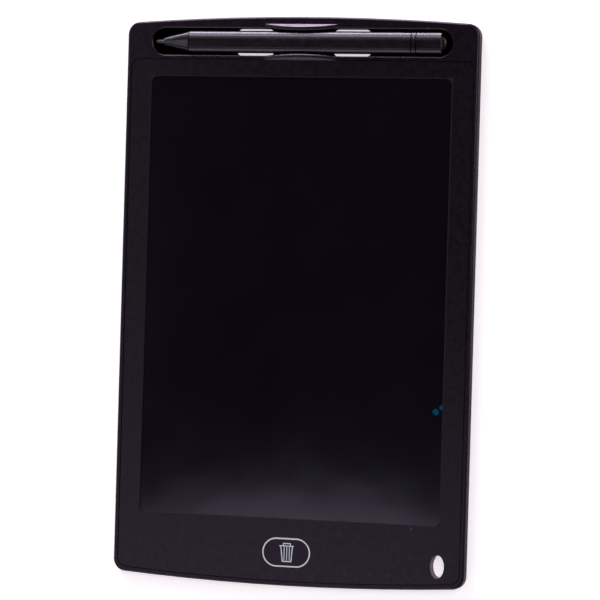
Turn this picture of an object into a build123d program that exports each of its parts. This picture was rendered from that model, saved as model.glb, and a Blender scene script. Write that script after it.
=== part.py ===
from build123d import *
from math import cos, radians, sin, sqrt
import os

os.makedirs("parts", exist_ok=True)

# The tablet lies on its back: X to the right, Y up its face, Z out of the screen.
# The origin is the centre of the back face, and all lengths are in millimetres.

# Whole tablet
TABLET_WIDTH = 145.0
TABLET_HEIGHT = 225.0
TABLET_THICKNESS = 5.0
END_BOW = 2.65
CORNER_RADIUS = 5.0
FRONT_EDGE_RADIUS = 0.8
BACK_EDGE_RADIUS = 0.8

# Case halves and how they meet
CASE_WALL = 1.3
BACK_FLOOR = 1.0
PARTING_HEIGHT = 1.6
PARTING_GROOVE = 0.12
FIT_GAP = 0.1
CLEARANCE = 0.2
OVERRUN = 1.0
TONGUE_THICKNESS = 0.6
TONGUE_HEIGHT = 0.9
SNAP_LENGTH = 4.0
SNAP_REACH = 0.2
SNAP_HEIGHT = 0.35
SNAP_PITCH = 45.0
SNAPS_PER_SIDE = 4

# Stylus slot along the top edge, with two finger openings through its floor and a bridge between them
SLOT_SIDE_MARGIN = 10.55
SLOT_TOP_MARGIN = 4.55
SLOT_WIDTH = 10.9
SLOT_WALL = 0.8
SLOT_CHAMFER = 0.2
RIM_CHAMFER_ANGLE = 60.0
SLOT_FLOOR = 0.8
SLOT_ROOF = 1.2
FINGER_OPENING_LENGTH = 16.0
FINGER_BRIDGE_LENGTH = 24.0
FINGER_OPENING_MARGIN = 0.1
FINGER_OPENING_RADIUS = 2.5

# Clip lips that lean over the stylus from both sides of the slot
LIP_LENGTH = 30.0
LIP_RISE = 1.0
LIP_SETBACK = 1.65
LIP_SLOPE_RUN = 1.2
LIP_ROUND = 0.8

# Front plate, the flat sheet round the screen
PLATE_THICKNESS = 0.45
PLATE_SINK = 0.1
PLATE_BORDER = 1.7
PLATE_GAP = 0.25
PLATE_CORNER_RADIUS = 3.5
PLATE_BELOW_SLOT = 1.65
PLATE_TAPE_THICKNESS = 0.1
PLATE_TAPE_INSET = 0.5
PLATE_EDGE_CHAMFER = 0.08

# Screen window and the film stack behind it
WINDOW_SIDE_BORDER = 8.65
WINDOW_BELOW_PLATE_TOP = 6.85
WINDOW_ABOVE_BOTTOM = 26.75
WINDOW_CORNER_RADIUS = 2.5
WINDOW_CHAMFER = 0.15
FILM_OVERLAP = 3.0
FILM_THICKNESS = 0.2
FILM_CORNER_RADIUS = 2.0
CRYSTAL_THICKNESS = 0.05
CRYSTAL_MARGIN = 1.0
FILM_TAPE_THICKNESS = 0.1
FILM_TAPE_WIDTH = 6.0
FILM_HEADROOM = 0.05
TRAY_THICKNESS = 0.8

# Erase key under the screen
KEY_LENGTH = 20.6
KEY_WIDTH = 12.1
KEY_BELOW_WINDOW = 13.5
KEY_GAP = 0.15
KEY_RAISE = 0.05
KEY_CHAMFER = 0.12
KEY_FLANGE = 0.8
KEY_FLANGE_THICKNESS = 0.4
KEY_FLANGE_DROP = 0.06
KEY_TRAVEL = 0.3
KEY_PLUNGER_RADIUS = 1.5
KEY_POCKET_GAP = 0.3
BAY_ROOF_THICKNESS = 0.7

# Lanyard hole in the lower right corner
LANYARD_HOLE_WIDTH = 5.45
LANYARD_HOLE_HEIGHT = 8.95
LANYARD_FROM_SIDE = 10.9
LANYARD_FROM_BOTTOM = 10.9
LANYARD_WALL = 0.9

# Ribs that hold the screen tray up
RIB_THICKNESS = 0.8
RIB_COLUMNS = 4
RIB_COLUMN_PITCH = 30.0
RIB_ROWS = 5
RIB_ROW_PITCH = 30.0
RIB_TOP_GAP = 0.05

# Circuit board in the bay under the erase key, its right edge a share of the tablet's half width
BOARD_RIGHT_SHARE = 0.455
BOARD_CUP_GAP = 1.7
BOARD_HEIGHT = 20.0
BOARD_THICKNESS = 0.8
BOARD_LIFT = 0.2
BOARD_BELOW_KEY = 7.6
BOARD_CORNER_RADIUS = 1.0
BOARD_PIN_RADIUS = 0.7
BOARD_PIN_INSET = 2.2
BOARD_PAD_RADIUS = 1.5
BOARD_PIN_STAND = 0.3

# Erase switch on the board
SWITCH_SIZE = 4.5
SWITCH_BASE_HEIGHT = 0.9
SWITCH_BASE_FLOOR = 0.15
SWITCH_WELL_RADIUS = 1.7
SWITCH_COVER_THICKNESS = 0.1
SWITCH_COVER_LUG = 0.8
SWITCH_STEM_RADIUS = 1.0
SWITCH_STEM_FLANGE = 0.3
SWITCH_STEM_FLANGE_HEIGHT = 0.2
SWITCH_STEM_SPARE = 0.2
SWITCH_STEM_GAP = 0.1
DOME_GAP = 0.02
DOME_RADIUS = 1.5
DOME_THICKNESS = 0.06
DOME_RISE = 0.32

# Parts soldered to the board, with their centres as shares of the board's width and height
CHIP_LENGTH = 4.9
CHIP_WIDTH = 3.9
CHIP_HEIGHT = 1.2
CHIP_STANDOFF = 0.1
CHIP_LEADS_PER_SIDE = 4
CHIP_LEAD_PITCH = 1.27
CHIP_LEAD_WIDTH = 0.4
CHIP_LEAD_THICKNESS = 0.15
CHIP_LEAD_REACH = 1.0
CHIP_PLACE_SHARE = (0.66, 0.45)
INDUCTOR_RADIUS = 2.0
INDUCTOR_CORE_RADIUS = 1.2
INDUCTOR_HEIGHT = 1.3
INDUCTOR_FLANGE = 0.35
INDUCTOR_PLACE_SHARE = (0.80, 0.70)
CAPACITOR_SIZE = (2.0, 1.25, 0.9)
CAPACITOR_PLACE_SHARES = ((0.14, 0.50), (0.14, 0.38), (0.52, 0.13), (0.60, 0.13))
RESISTOR_SIZE = (1.6, 0.8, 0.45)
RESISTOR_PLACE_SHARES = ((0.22, 0.20), (0.22, 0.12), (0.74, 0.16), (0.80, 0.16), (0.86, 0.16))
DIODE_SIZE = (2.6, 1.5, 1.0)
DIODE_PLACE_SHARES = ((0.22, 0.77), (0.32, 0.77))
END_CAP_SHARE = 0.2

# Lock switch at the board's right edge, and the lock knob in the back cover
LOCK_SWITCH_LENGTH = 6.6
LOCK_SWITCH_WIDTH = 2.7
LOCK_SWITCH_HEIGHT = 1.4
LOCK_SHELL_THICKNESS = 0.15
LOCK_BASE_HEIGHT = 0.35
LOCK_LEVER_WIDTH = 1.3
LOCK_LEVER_HEIGHT = 0.6
LOCK_LEVER_REACH = 1.6
LOCK_CARRIAGE_LENGTH = 3.0
LOCK_TRAVEL = 2.0
LOCK_BELOW_KEY = 0.6
LOCK_KNOB_LENGTH = 7.0
LOCK_KNOB_WIDTH = 4.0
LOCK_KNOB_RADIUS = 1.5
LOCK_KNOB_SINK = 0.1
LOCK_KNOB_GROOVES = 5
LOCK_KNOB_GROOVE_PITCH = 1.1
LOCK_KNOB_GROOVE_WIDTH = 0.5
LOCK_KNOB_GROOVE_DEPTH = 0.3
LOCK_FLANGE_THICKNESS = 0.5
LOCK_FLANGE_OVERLAP = 0.6
LOCK_FINGER_THICKNESS = 0.8
LOCK_FINGER_WIDTH = 1.6
LOCK_FINGER_STAND = 0.2

# Coin cell, its centre a share of the tablet's half width to the left of the key
CELL_RADIUS = 10.0
CELL_HEIGHT = 1.6
CELL_SHEET = 0.25
CELL_CAP_RADIUS = 9.1
CELL_CRIMP_DROP = 0.15
CELL_PLACE_SHARE = 0.53
CELL_ABOVE_KEY = 1.1
CELL_LIFT = 0.05
CELL_WELL_GAP = 0.3
CELL_WELL_WALL = 0.8

# Cell contacts, bent from strip
CONTACT_THICKNESS = 0.2
CONTACT_WIDTH = 2.6
CONTACT_FOOT = 2.6
CONTACT_FOOT_OVERHANG = 0.65
CONTACT_BEND_RADIUS = 0.3
CONTACT_GAP = 0.02
CONTACT_OFFSET = 5.4
CONTACT_RISE = 0.22
CONTACT_BLADE_HEIGHT = 1.0
CONTACT_BLADE_TAIL = 1.8
CONTACT_ANGLE = 45.0

# Battery door: it swings on two tongues at its left edge, and a screw holds its right edge
DOOR_THICKNESS = 0.6
DOOR_GAP = 0.15
DOOR_MARGIN = 2.0
DOOR_LEDGE = 1.0
DOOR_CORNER_RADIUS = 1.5
DOOR_OPENING_GAP = 0.4
DOOR_TONGUE_WIDTH = 4.0
DOOR_TONGUE_OFFSET = 5.0
DOOR_TONGUE_THICKNESS = 0.5
DOOR_TONGUE_REACH = 1.4
DOOR_NECK = 1.3
DOOR_SCREW_OFFSET = 14.6
DOOR_PAD_RADIUS = 2.35
DOOR_PAD_THICKNESS = 1.1
DOOR_PAD_BORE = 0.9
DOOR_ARROW_SIZE = 3.0
DOOR_ARROW_SIDES = 3
DOOR_ARROW_TURN = 180.0
DOOR_ARROW_DEPTH = 0.15
CUP_WALL = 0.7
CUP_ROOF = 0.6
BOSS_RADIUS = 2.0
BOSS_HEIGHT = 2.9
BOSS_BORE = 0.95
SCREW_HEAD_RADIUS = 1.55
SCREW_HEAD_HEIGHT = 0.45
SCREW_HEAD_SINK = 0.1
SCREW_SHANK_RADIUS = 0.8
SCREW_TIP_GAP = 0.15
SCREW_SLOT_WIDTH = 0.4
SCREW_SLOT_LENGTH = 1.8
SCREW_SLOT_DEPTH = 0.25

# Flex tail from the film stack to the board
TAIL_WIDTH = 8.0
TAIL_THICKNESS = 0.1
TAIL_LAP = 1.4
TAIL_FOOT = 2.5
TAIL_BEND_RADIUS = 0.25
TAIL_RIGHT_OF_KEY = 9.0
TAIL_STANDOFF = 0.7
TAIL_SLOT_WIDTH = 1.6

# Stylus, a flat pen with rounded edges
STYLUS_SLOT_GAP = 1.0
STYLUS_THICKNESS = 5.0
STYLUS_EDGE_RADIUS = 2.3
STYLUS_FLOOR_GAP = 0.1
STYLUS_NIB_GAP = 0.95
STYLUS_END_GAP = 2.5
STYLUS_WALL = 0.9
STYLUS_SIDE_GAP = 0.1
NIB_TIP_RADIUS = 0.8
NIB_ROOT_RADIUS = 0.95
NIB_REACH = 3.8
NIB_SHANK_LENGTH = 5.0
CONE_LENGTH = 10.2
CONE_TIP_WIDTH = 3.3
CONE_TIP_THICKNESS = 2.8
CONE_TIP_RADIUS = 1.2
CONE_ROOT_STEP = 0.25
CONE_SPIGOT_LENGTH = 4.0
SEAM_WIDTH = 0.4
SEAM_DEPTH = 0.35
SPIGOT_GAP = 0.05
RING_WIDTH = 1.6
END_CAP_LENGTH = 10.2
END_CAP_ROUND = 0.3
END_SPIGOT_LENGTH = 4.0
PLUG_STEP = 1.25
PLUG_RISE = 1.95
PLUG_ROUND = 1.0
PLUG_STEM_STEP = 0.5
PLUG_DEPTH = 3.0

# Places that follow from the sizes
HALF_WIDTH = TABLET_WIDTH / 2
HALF_HEIGHT = TABLET_HEIGHT / 2
SLOT_LENGTH = TABLET_WIDTH - 2 * SLOT_SIDE_MARGIN
SLOT_Y = HALF_HEIGHT - SLOT_TOP_MARGIN - SLOT_WIDTH / 2
FINGER_OPENING_WIDTH = SLOT_WIDTH - 2 * FINGER_OPENING_MARGIN
PLATE_TOP = SLOT_Y - SLOT_WIDTH / 2 - PLATE_BELOW_SLOT
PLATE_FRONT = TABLET_THICKNESS - PLATE_SINK
PLATE_BACK = PLATE_FRONT - PLATE_THICKNESS
PLATE_SEAT = PLATE_BACK - PLATE_TAPE_THICKNESS
WINDOW_TOP = PLATE_TOP - WINDOW_BELOW_PLATE_TOP
WINDOW_BOTTOM = WINDOW_ABOVE_BOTTOM - HALF_HEIGHT
WINDOW_HEIGHT = WINDOW_TOP - WINDOW_BOTTOM
WINDOW_WIDTH = TABLET_WIDTH - 2 * (PLATE_BORDER + PLATE_GAP + WINDOW_SIDE_BORDER)
WINDOW_Y = (WINDOW_TOP + WINDOW_BOTTOM) / 2
FILM_WIDTH = WINDOW_WIDTH + 2 * FILM_OVERLAP
FILM_HEIGHT = WINDOW_HEIGHT + 2 * FILM_OVERLAP
FILM_BOTTOM = WINDOW_BOTTOM - FILM_OVERLAP
TOP_FILM_FRONT = PLATE_BACK - FILM_HEADROOM
CRYSTAL_FRONT = TOP_FILM_FRONT - FILM_THICKNESS
BOTTOM_FILM_FRONT = CRYSTAL_FRONT - CRYSTAL_THICKNESS
FILM_TAPE_FRONT = BOTTOM_FILM_FRONT - FILM_THICKNESS
TRAY_FRONT = FILM_TAPE_FRONT - FILM_TAPE_THICKNESS
TRAY_BACK = TRAY_FRONT - TRAY_THICKNESS
BAY_TOP = FILM_BOTTOM - CLEARANCE - CASE_WALL
BAY_ROOF = PLATE_SEAT - BAY_ROOF_THICKNESS
KEY_Y = WINDOW_BOTTOM - KEY_BELOW_WINDOW
KEY_FRONT = PLATE_FRONT + KEY_RAISE
LANYARD_X = HALF_WIDTH - LANYARD_FROM_SIDE
LANYARD_Y = LANYARD_FROM_BOTTOM - HALF_HEIGHT
BOARD_BACK = BACK_FLOOR + BOARD_LIFT
BOARD_FRONT = BOARD_BACK + BOARD_THICKNESS
BOARD_BOTTOM = KEY_Y - BOARD_BELOW_KEY
BOARD_Y = BOARD_BOTTOM + BOARD_HEIGHT / 2
STYLUS_WIDTH = SLOT_WIDTH - 2 * STYLUS_SLOT_GAP
STYLUS_Z = SLOT_FLOOR + STYLUS_FLOOR_GAP + STYLUS_THICKNESS / 2
STYLUS_TIP = STYLUS_NIB_GAP - SLOT_LENGTH / 2
BARREL_FRONT = STYLUS_TIP + NIB_REACH + CONE_LENGTH + SEAM_WIDTH
CAP_BACK = SLOT_LENGTH / 2 - STYLUS_END_GAP - PLUG_RISE
RING_BACK = CAP_BACK - END_CAP_LENGTH - SEAM_WIDTH
RING_FRONT = RING_BACK - RING_WIDTH
BARREL_BACK = RING_FRONT - SEAM_WIDTH
SWITCH_TOP = BOARD_FRONT + SWITCH_BASE_HEIGHT
STEM_TOP = SWITCH_TOP + SWITCH_COVER_THICKNESS + KEY_TRAVEL + SWITCH_STEM_SPARE
CELL_X = -HALF_WIDTH * CELL_PLACE_SHARE
CELL_Y = KEY_Y + CELL_ABOVE_KEY
CELL_BACK = DOOR_THICKNESS + CELL_LIFT
CELL_FRONT = CELL_BACK + CELL_HEIGHT
WELL_RADIUS = CELL_RADIUS + CELL_WELL_GAP
WELL_OUTSIDE = WELL_RADIUS + CELL_WELL_WALL
DOOR_HINGE_X = CELL_X - WELL_OUTSIDE - DOOR_MARGIN
DOOR_SCREW_X = CELL_X + DOOR_SCREW_OFFSET
CUP_OUTSIDE = DOOR_PAD_RADIUS + DOOR_GAP + CUP_WALL
BOARD_LEFT = DOOR_SCREW_X + CUP_OUTSIDE + BOARD_CUP_GAP
BOARD_RIGHT = HALF_WIDTH * BOARD_RIGHT_SHARE
BOARD_WIDTH = BOARD_RIGHT - BOARD_LEFT
BOARD_X = (BOARD_LEFT + BOARD_RIGHT) / 2
DOOR_OPENING_HEIGHT = 2 * (CELL_RADIUS + DOOR_OPENING_GAP)
DOOR_RECESS_HEIGHT = DOOR_OPENING_HEIGHT + 2 * DOOR_LEDGE
LOCK_SWITCH_X = BOARD_RIGHT - LOCK_SWITCH_WIDTH / 2
LOCK_SWITCH_Y = KEY_Y - LOCK_BELOW_KEY
LOCK_REST_Y = LOCK_SWITCH_Y - LOCK_TRAVEL / 2
LOCK_KNOB_X = BOARD_RIGHT + 2 * CLEARANCE + LOCK_FLANGE_OVERLAP + LOCK_KNOB_WIDTH / 2
TAIL_X = TAIL_RIGHT_OF_KEY
TAIL_DROP_Y = FILM_BOTTOM - TAIL_STANDOFF


def rise(outline, low, high):
    """Make an outline seen from the front solid between two heights."""
    return extrude(Pos(0, 0, low) * outline, amount=high - low, dir=(0, 0, 1))


def cross(outline, left, right):
    """Make an outline with Y across and Z up solid between two places along X."""
    side = Plane(origin=(left, 0, 0), x_dir=(0, 1, 0), z_dir=(1, 0, 0))
    return extrude(side * outline, amount=right - left, dir=(1, 0, 0))


def along(outline, near, far):
    """Make an outline with X across and Z up solid between two places along Y."""
    end = Plane(origin=(0, near, 0), x_dir=(1, 0, 0), z_dir=(0, -1, 0))
    return extrude(end * outline, amount=far - near, dir=(0, 1, 0))


def across_stylus(x):
    """The plane across the stylus's axis at a place along X."""
    return Plane(origin=(x, SLOT_Y, STYLUS_Z), x_dir=(0, 1, 0), z_dir=(1, 0, 0))


def stylus_section(x, step):
    """The stylus's rounded section at a place along X, an even step smaller all round."""
    size = (STYLUS_WIDTH - 2 * step, STYLUS_THICKNESS - 2 * step)
    return across_stylus(x) * RectangleRounded(*size, STYLUS_EDGE_RADIUS - step)


def stylus_length(step, left, right):
    """A straight length of the stylus's section, an even step smaller all round."""
    return extrude(stylus_section(left, step), amount=right - left, dir=(1, 0, 0))


def band(low, high):
    """A strip across the whole tablet between two places along Y."""
    return Pos(0, (low + high) / 2) * Rectangle(TABLET_WIDTH, high - low)


def brick(left, right, bottom, top, low, high):
    """A plain block between two corners."""
    middle = Pos((left + right) / 2, (bottom + top) / 2)
    return rise(middle * Rectangle(right - left, top - bottom), low, high)


def disc(x, y, radius, low, high):
    """A round post or bore along Z."""
    return rise(Pos(x, y) * Circle(radius), low, high)


def edges_at(part, height):
    """The edges that lie flat at one height."""
    return part.edges().filter_by_position(Axis.Z, height, height)


def strip_outline(points, thickness, bend_radius):
    """Side view of a bent strip whose middle runs through the points."""
    return trace(FilletPolyline(*points, radius=bend_radius), line_width=thickness)


# Outlines shared by pieces that fit in each other


def case_outline(inset=0):
    """The case from the front: straight sides, bowed ends, and an even inset."""
    half_width = HALF_WIDTH - inset
    half_height = HALF_HEIGHT - inset
    shoulder = half_height - END_BOW
    left = Line((-half_width, -shoulder), (-half_width, shoulder))
    top = ThreePointArc((-half_width, shoulder), (0, half_height), (half_width, shoulder))
    right = Line((half_width, shoulder), (half_width, -shoulder))
    bottom = ThreePointArc((half_width, -shoulder), (0, -half_height), (-half_width, -shoulder))
    outline = make_face([left, top, right, bottom])
    return fillet(outline.vertices(), CORNER_RADIUS - inset)


def plate_outline(inset=0):
    """The front plate: straight along the slot, bowed along the bottom like the case."""
    half_width = HALF_WIDTH - PLATE_BORDER - PLATE_GAP - inset
    bottom_middle = PLATE_BORDER + PLATE_GAP + inset - HALF_HEIGHT
    bottom_corner = bottom_middle + END_BOW
    top = PLATE_TOP - inset
    left = Line((-half_width, bottom_corner), (-half_width, top))
    upper = Line((-half_width, top), (half_width, top))
    right = Line((half_width, top), (half_width, bottom_corner))
    lower = ThreePointArc((half_width, bottom_corner), (0, bottom_middle), (-half_width, bottom_corner))
    outline = make_face([left, upper, right, lower])
    return fillet(outline.vertices(), PLATE_CORNER_RADIUS - inset)


def slot_outline(grow=0):
    """The stylus slot, with fully round ends."""
    return Pos(0, SLOT_Y) * SlotOverall(SLOT_LENGTH + 2 * grow, SLOT_WIDTH + 2 * grow)


def window_outline(grow=0):
    """The screen window."""
    size = (WINDOW_WIDTH + 2 * grow, WINDOW_HEIGHT + 2 * grow)
    return Pos(0, WINDOW_Y) * RectangleRounded(*size, WINDOW_CORNER_RADIUS + grow)


def film_outline(grow=0):
    """The screen film, larger than the window all round."""
    size = (FILM_WIDTH + 2 * grow, FILM_HEIGHT + 2 * grow)
    return Pos(0, WINDOW_Y) * RectangleRounded(*size, FILM_CORNER_RADIUS + max(grow, 0))


def key_outline(grow=0):
    """The pill shape of the erase key."""
    return Pos(0, KEY_Y) * SlotOverall(KEY_LENGTH + 2 * grow, KEY_WIDTH + 2 * grow)


def lanyard_outline(grow=0):
    """The oval lanyard hole."""
    hole = Ellipse(LANYARD_HOLE_WIDTH / 2 + grow, LANYARD_HOLE_HEIGHT / 2 + grow)
    return Pos(LANYARD_X, LANYARD_Y) * hole


def tail_notch(grow=0):
    """The bite in the film's lower edge where the flex tail is bonded."""
    low = FILM_BOTTOM - OVERRUN
    high = FILM_BOTTOM + TAIL_LAP + grow
    width = TAIL_WIDTH + 2 * (CLEARANCE + grow)
    return Pos(TAIL_X, (low + high) / 2) * Rectangle(width, high - low)


def board_point(share):
    """A place on the board, given as shares of its width and height."""
    return BOARD_LEFT + share[0] * BOARD_WIDTH, BOARD_BOTTOM + share[1] * BOARD_HEIGHT


def board_pins():
    """Two opposite corners of the board, where pins of the back cover locate it."""
    x = BOARD_WIDTH / 2 - BOARD_PIN_INSET
    y = BOARD_HEIGHT / 2 - BOARD_PIN_INSET
    return [(BOARD_X - x, BOARD_Y + y), (BOARD_X + x, BOARD_Y - y)]


def board_pads():
    """All four corners of the board, where it rests on pads."""
    x = BOARD_WIDTH / 2 - BOARD_PIN_INSET
    y = BOARD_HEIGHT / 2 - BOARD_PIN_INSET
    return [(BOARD_X + i * x, BOARD_Y + j * y) for i in (-1, 1) for j in (-1, 1)]


def snap_blocks(grow=0):
    """Small noses along both long sides that hold the two case halves together."""
    face = HALF_WIDTH - CASE_WALL - FIT_GAP
    low = PARTING_HEIGHT + TONGUE_HEIGHT / 2 - SNAP_HEIGHT / 2 - grow
    first = -SNAP_PITCH * (SNAPS_PER_SIDE - 1) / 2
    blocks = []
    for side in (-1, 1):
        for number in range(SNAPS_PER_SIDE):
            y = first + number * SNAP_PITCH
            near = side * (face - TONGUE_THICKNESS / 2)
            far = side * (face + SNAP_REACH + grow)
            half = SNAP_LENGTH / 2 + grow
            high = low + SNAP_HEIGHT + 2 * grow
            blocks.append(brick(min(near, far), max(near, far), y - half, y + half, low, high))
    return blocks


# Battery door, its opening in the back cover, and its screw


def door_outline(grow=0):
    """The door from the front: a plate with a round pad for the screw at its right edge."""
    left = DOOR_HINGE_X + DOOR_GAP - grow
    right = DOOR_SCREW_X + grow
    height = DOOR_RECESS_HEIGHT - 2 * DOOR_GAP + 2 * grow
    plate = RectangleRounded(right - left, height, DOOR_CORNER_RADIUS + grow)
    pad = Pos(DOOR_SCREW_X, CELL_Y) * Circle(DOOR_PAD_RADIUS + grow)
    return Pos((left + right) / 2, CELL_Y) * plate + pad


def door_opening():
    """The inner opening behind the door, smaller than the door on three sides."""
    left = DOOR_HINGE_X
    right = DOOR_SCREW_X - CUP_OUTSIDE
    opening = Rectangle(right - left, DOOR_OPENING_HEIGHT)
    return Pos((left + right) / 2, CELL_Y) * opening


def make_battery_door():
    """Thin plate with a bored screw pad and two tongues that hook into the case."""
    door = rise(door_outline(), 0, DOOR_THICKNESS)
    door += disc(DOOR_SCREW_X, CELL_Y, DOOR_PAD_RADIUS, 0, DOOR_PAD_THICKNESS)
    tongue_low = BACK_FLOOR + FIT_GAP
    tongue_high = tongue_low + DOOR_TONGUE_THICKNESS
    neck_left = DOOR_HINGE_X + DOOR_GAP
    for side in (-1, 1):
        y = CELL_Y + side * DOOR_TONGUE_OFFSET
        low_y = y - DOOR_TONGUE_WIDTH / 2
        high_y = y + DOOR_TONGUE_WIDTH / 2
        neck_right = neck_left + DOOR_NECK
        door += brick(neck_left, neck_right, low_y, high_y, DOOR_THICKNESS, tongue_high)
        tip = DOOR_HINGE_X - DOOR_TONGUE_REACH
        door += brick(tip, neck_right, low_y, high_y, tongue_low, tongue_high)
    head_seat = SCREW_HEAD_SINK + SCREW_HEAD_HEIGHT
    head_bore = SCREW_HEAD_RADIUS + FIT_GAP
    door -= disc(DOOR_SCREW_X, CELL_Y, head_bore, -OVERRUN, head_seat)
    door -= disc(DOOR_SCREW_X, CELL_Y, DOOR_PAD_BORE, 0, DOOR_PAD_THICKNESS + OVERRUN)
    arrow = RegularPolygon(DOOR_ARROW_SIZE, DOOR_ARROW_SIDES, rotation=DOOR_ARROW_TURN)
    return door - rise(Pos(CELL_X, CELL_Y) * arrow, -OVERRUN, DOOR_ARROW_DEPTH)


def make_battery_door_screw():
    """Pan-head screw with a crossed recess."""
    head_high = SCREW_HEAD_SINK + SCREW_HEAD_HEIGHT
    tip = BOSS_HEIGHT - SCREW_TIP_GAP
    screw = disc(DOOR_SCREW_X, CELL_Y, SCREW_HEAD_RADIUS, SCREW_HEAD_SINK, head_high)
    screw += disc(DOOR_SCREW_X, CELL_Y, SCREW_SHANK_RADIUS, head_high, tip)
    slot_top = SCREW_HEAD_SINK + SCREW_SLOT_DEPTH
    for size in ((SCREW_SLOT_LENGTH, SCREW_SLOT_WIDTH), (SCREW_SLOT_WIDTH, SCREW_SLOT_LENGTH)):
        screw -= rise(Pos(DOOR_SCREW_X, CELL_Y) * Rectangle(*size), -OVERRUN, slot_top)
    return screw


# Back cover


def make_cell_well():
    """Round wall round the coin cell, tied to the ledges above and below it."""
    well = disc(CELL_X, CELL_Y, WELL_OUTSIDE, DOOR_THICKNESS, CELL_FRONT)
    half = DOOR_OPENING_HEIGHT / 2
    for side in (-1, 1):
        inner = CELL_Y + side * half
        outer = inner + side * CELL_WELL_WALL
        span = (CELL_X - WELL_RADIUS, CELL_X + WELL_RADIUS)
        well += brick(*span, min(inner, outer), max(inner, outer), DOOR_THICKNESS, CELL_FRONT)
    well -= disc(CELL_X, CELL_Y, WELL_RADIUS, 0, CELL_FRONT + OVERRUN)
    notch_left = CELL_X + WELL_RADIUS * cos(radians(CONTACT_ANGLE)) - CONTACT_BLADE_TAIL
    notch_low = CELL_Y + CONTACT_OFFSET - 2 * CONTACT_THICKNESS - CLEARANCE
    notch_high = CELL_Y + WELL_RADIUS
    notch = (notch_left, CELL_X + WELL_OUTSIDE, notch_low, notch_high)
    return well - brick(*notch, BACK_FLOOR, CELL_FRONT + OVERRUN)


def make_screw_cup():
    """Cup over the door's screw pad, with the screw boss on its roof."""
    roof_low = DOOR_PAD_THICKNESS
    roof_high = roof_low + CUP_ROOF
    cup = disc(DOOR_SCREW_X, CELL_Y, CUP_OUTSIDE, 0, roof_high)
    cup += disc(DOOR_SCREW_X, CELL_Y, BOSS_RADIUS, roof_low, BOSS_HEIGHT)
    return cup


def make_ribs():
    """Crossed ribs between the back and the screen tray."""
    high = TRAY_BACK - RIB_TOP_GAP
    board_top = BOARD_BOTTOM + BOARD_HEIGHT
    door_top = CELL_Y + DOOR_RECESS_HEIGHT / 2
    bottom = max(board_top, door_top) + CLEARANCE
    top = SLOT_Y - SLOT_WIDTH / 2 - SLOT_WALL - CLEARANCE
    side = HALF_WIDTH - CASE_WALL - FIT_GAP
    ribs = Part()
    for number in range(RIB_COLUMNS):
        x = (number - (RIB_COLUMNS - 1) / 2) * RIB_COLUMN_PITCH
        half = RIB_THICKNESS / 2
        ribs += brick(x - half, x + half, bottom, top, BACK_FLOOR, high)
    for number in range(RIB_ROWS):
        y = WINDOW_Y + (number - (RIB_ROWS - 1) / 2) * RIB_ROW_PITCH
        half = RIB_THICKNESS / 2
        ribs += brick(-side, side, y - half, y + half, BACK_FLOOR, high)
    return ribs


def make_back_cover():
    """Shallow shell with the slot floor, door opening, ribs, posts and locating tongue."""
    cover = rise(case_outline(), 0, PARTING_HEIGHT)
    cover = fillet(edges_at(cover, 0), BACK_EDGE_RADIUS)
    cover -= rise(case_outline(CASE_WALL), BACK_FLOOR, PARTING_HEIGHT + OVERRUN)
    groove_ring = case_outline() - case_outline(PARTING_GROOVE)
    cover -= rise(groove_ring, PARTING_HEIGHT - PARTING_GROOVE, PARTING_HEIGHT + OVERRUN)

    tongue_outside = CASE_WALL + FIT_GAP
    tongue = case_outline(tongue_outside) - case_outline(tongue_outside + TONGUE_THICKNESS)
    tongue -= slot_outline(SLOT_WALL + FIT_GAP)
    cover += rise(tongue, BACK_FLOOR, PARTING_HEIGHT + TONGUE_HEIGHT)
    cover += make_ribs()
    for block in snap_blocks():
        cover += block

    cover -= rise(slot_outline(), SLOT_FLOOR, PARTING_HEIGHT + OVERRUN)
    finger = RectangleRounded(FINGER_OPENING_LENGTH, FINGER_OPENING_WIDTH, FINGER_OPENING_RADIUS)
    for side in (-1, 1):
        middle = side * (FINGER_BRIDGE_LENGTH + FINGER_OPENING_LENGTH) / 2
        cover -= rise(Pos(middle, SLOT_Y) * finger, -OVERRUN, BACK_FLOOR)
    cover -= rise(lanyard_outline(), -OVERRUN, BACK_FLOOR + OVERRUN)

    for x, y in board_pads():
        cover += disc(x, y, BOARD_PAD_RADIUS, BACK_FLOOR, BOARD_BACK)
    for x, y in board_pins():
        cover += disc(x, y, BOARD_PIN_RADIUS, BACK_FLOOR, BOARD_FRONT + BOARD_PIN_STAND)

    cover += make_screw_cup()
    cover -= rise(door_outline(DOOR_GAP), -OVERRUN, DOOR_THICKNESS)
    cover -= rise(door_opening(), -OVERRUN, BACK_FLOOR)
    pocket = DOOR_PAD_RADIUS + DOOR_GAP
    cover -= disc(DOOR_SCREW_X, CELL_Y, pocket, -OVERRUN, DOOR_PAD_THICKNESS)
    cover -= disc(DOOR_SCREW_X, CELL_Y, BOSS_BORE, 0, BOSS_HEIGHT + OVERRUN)
    cover += make_cell_well()
    return cover - rise(lock_slot_outline(), -OVERRUN, BACK_FLOOR)


# Front frame


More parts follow.
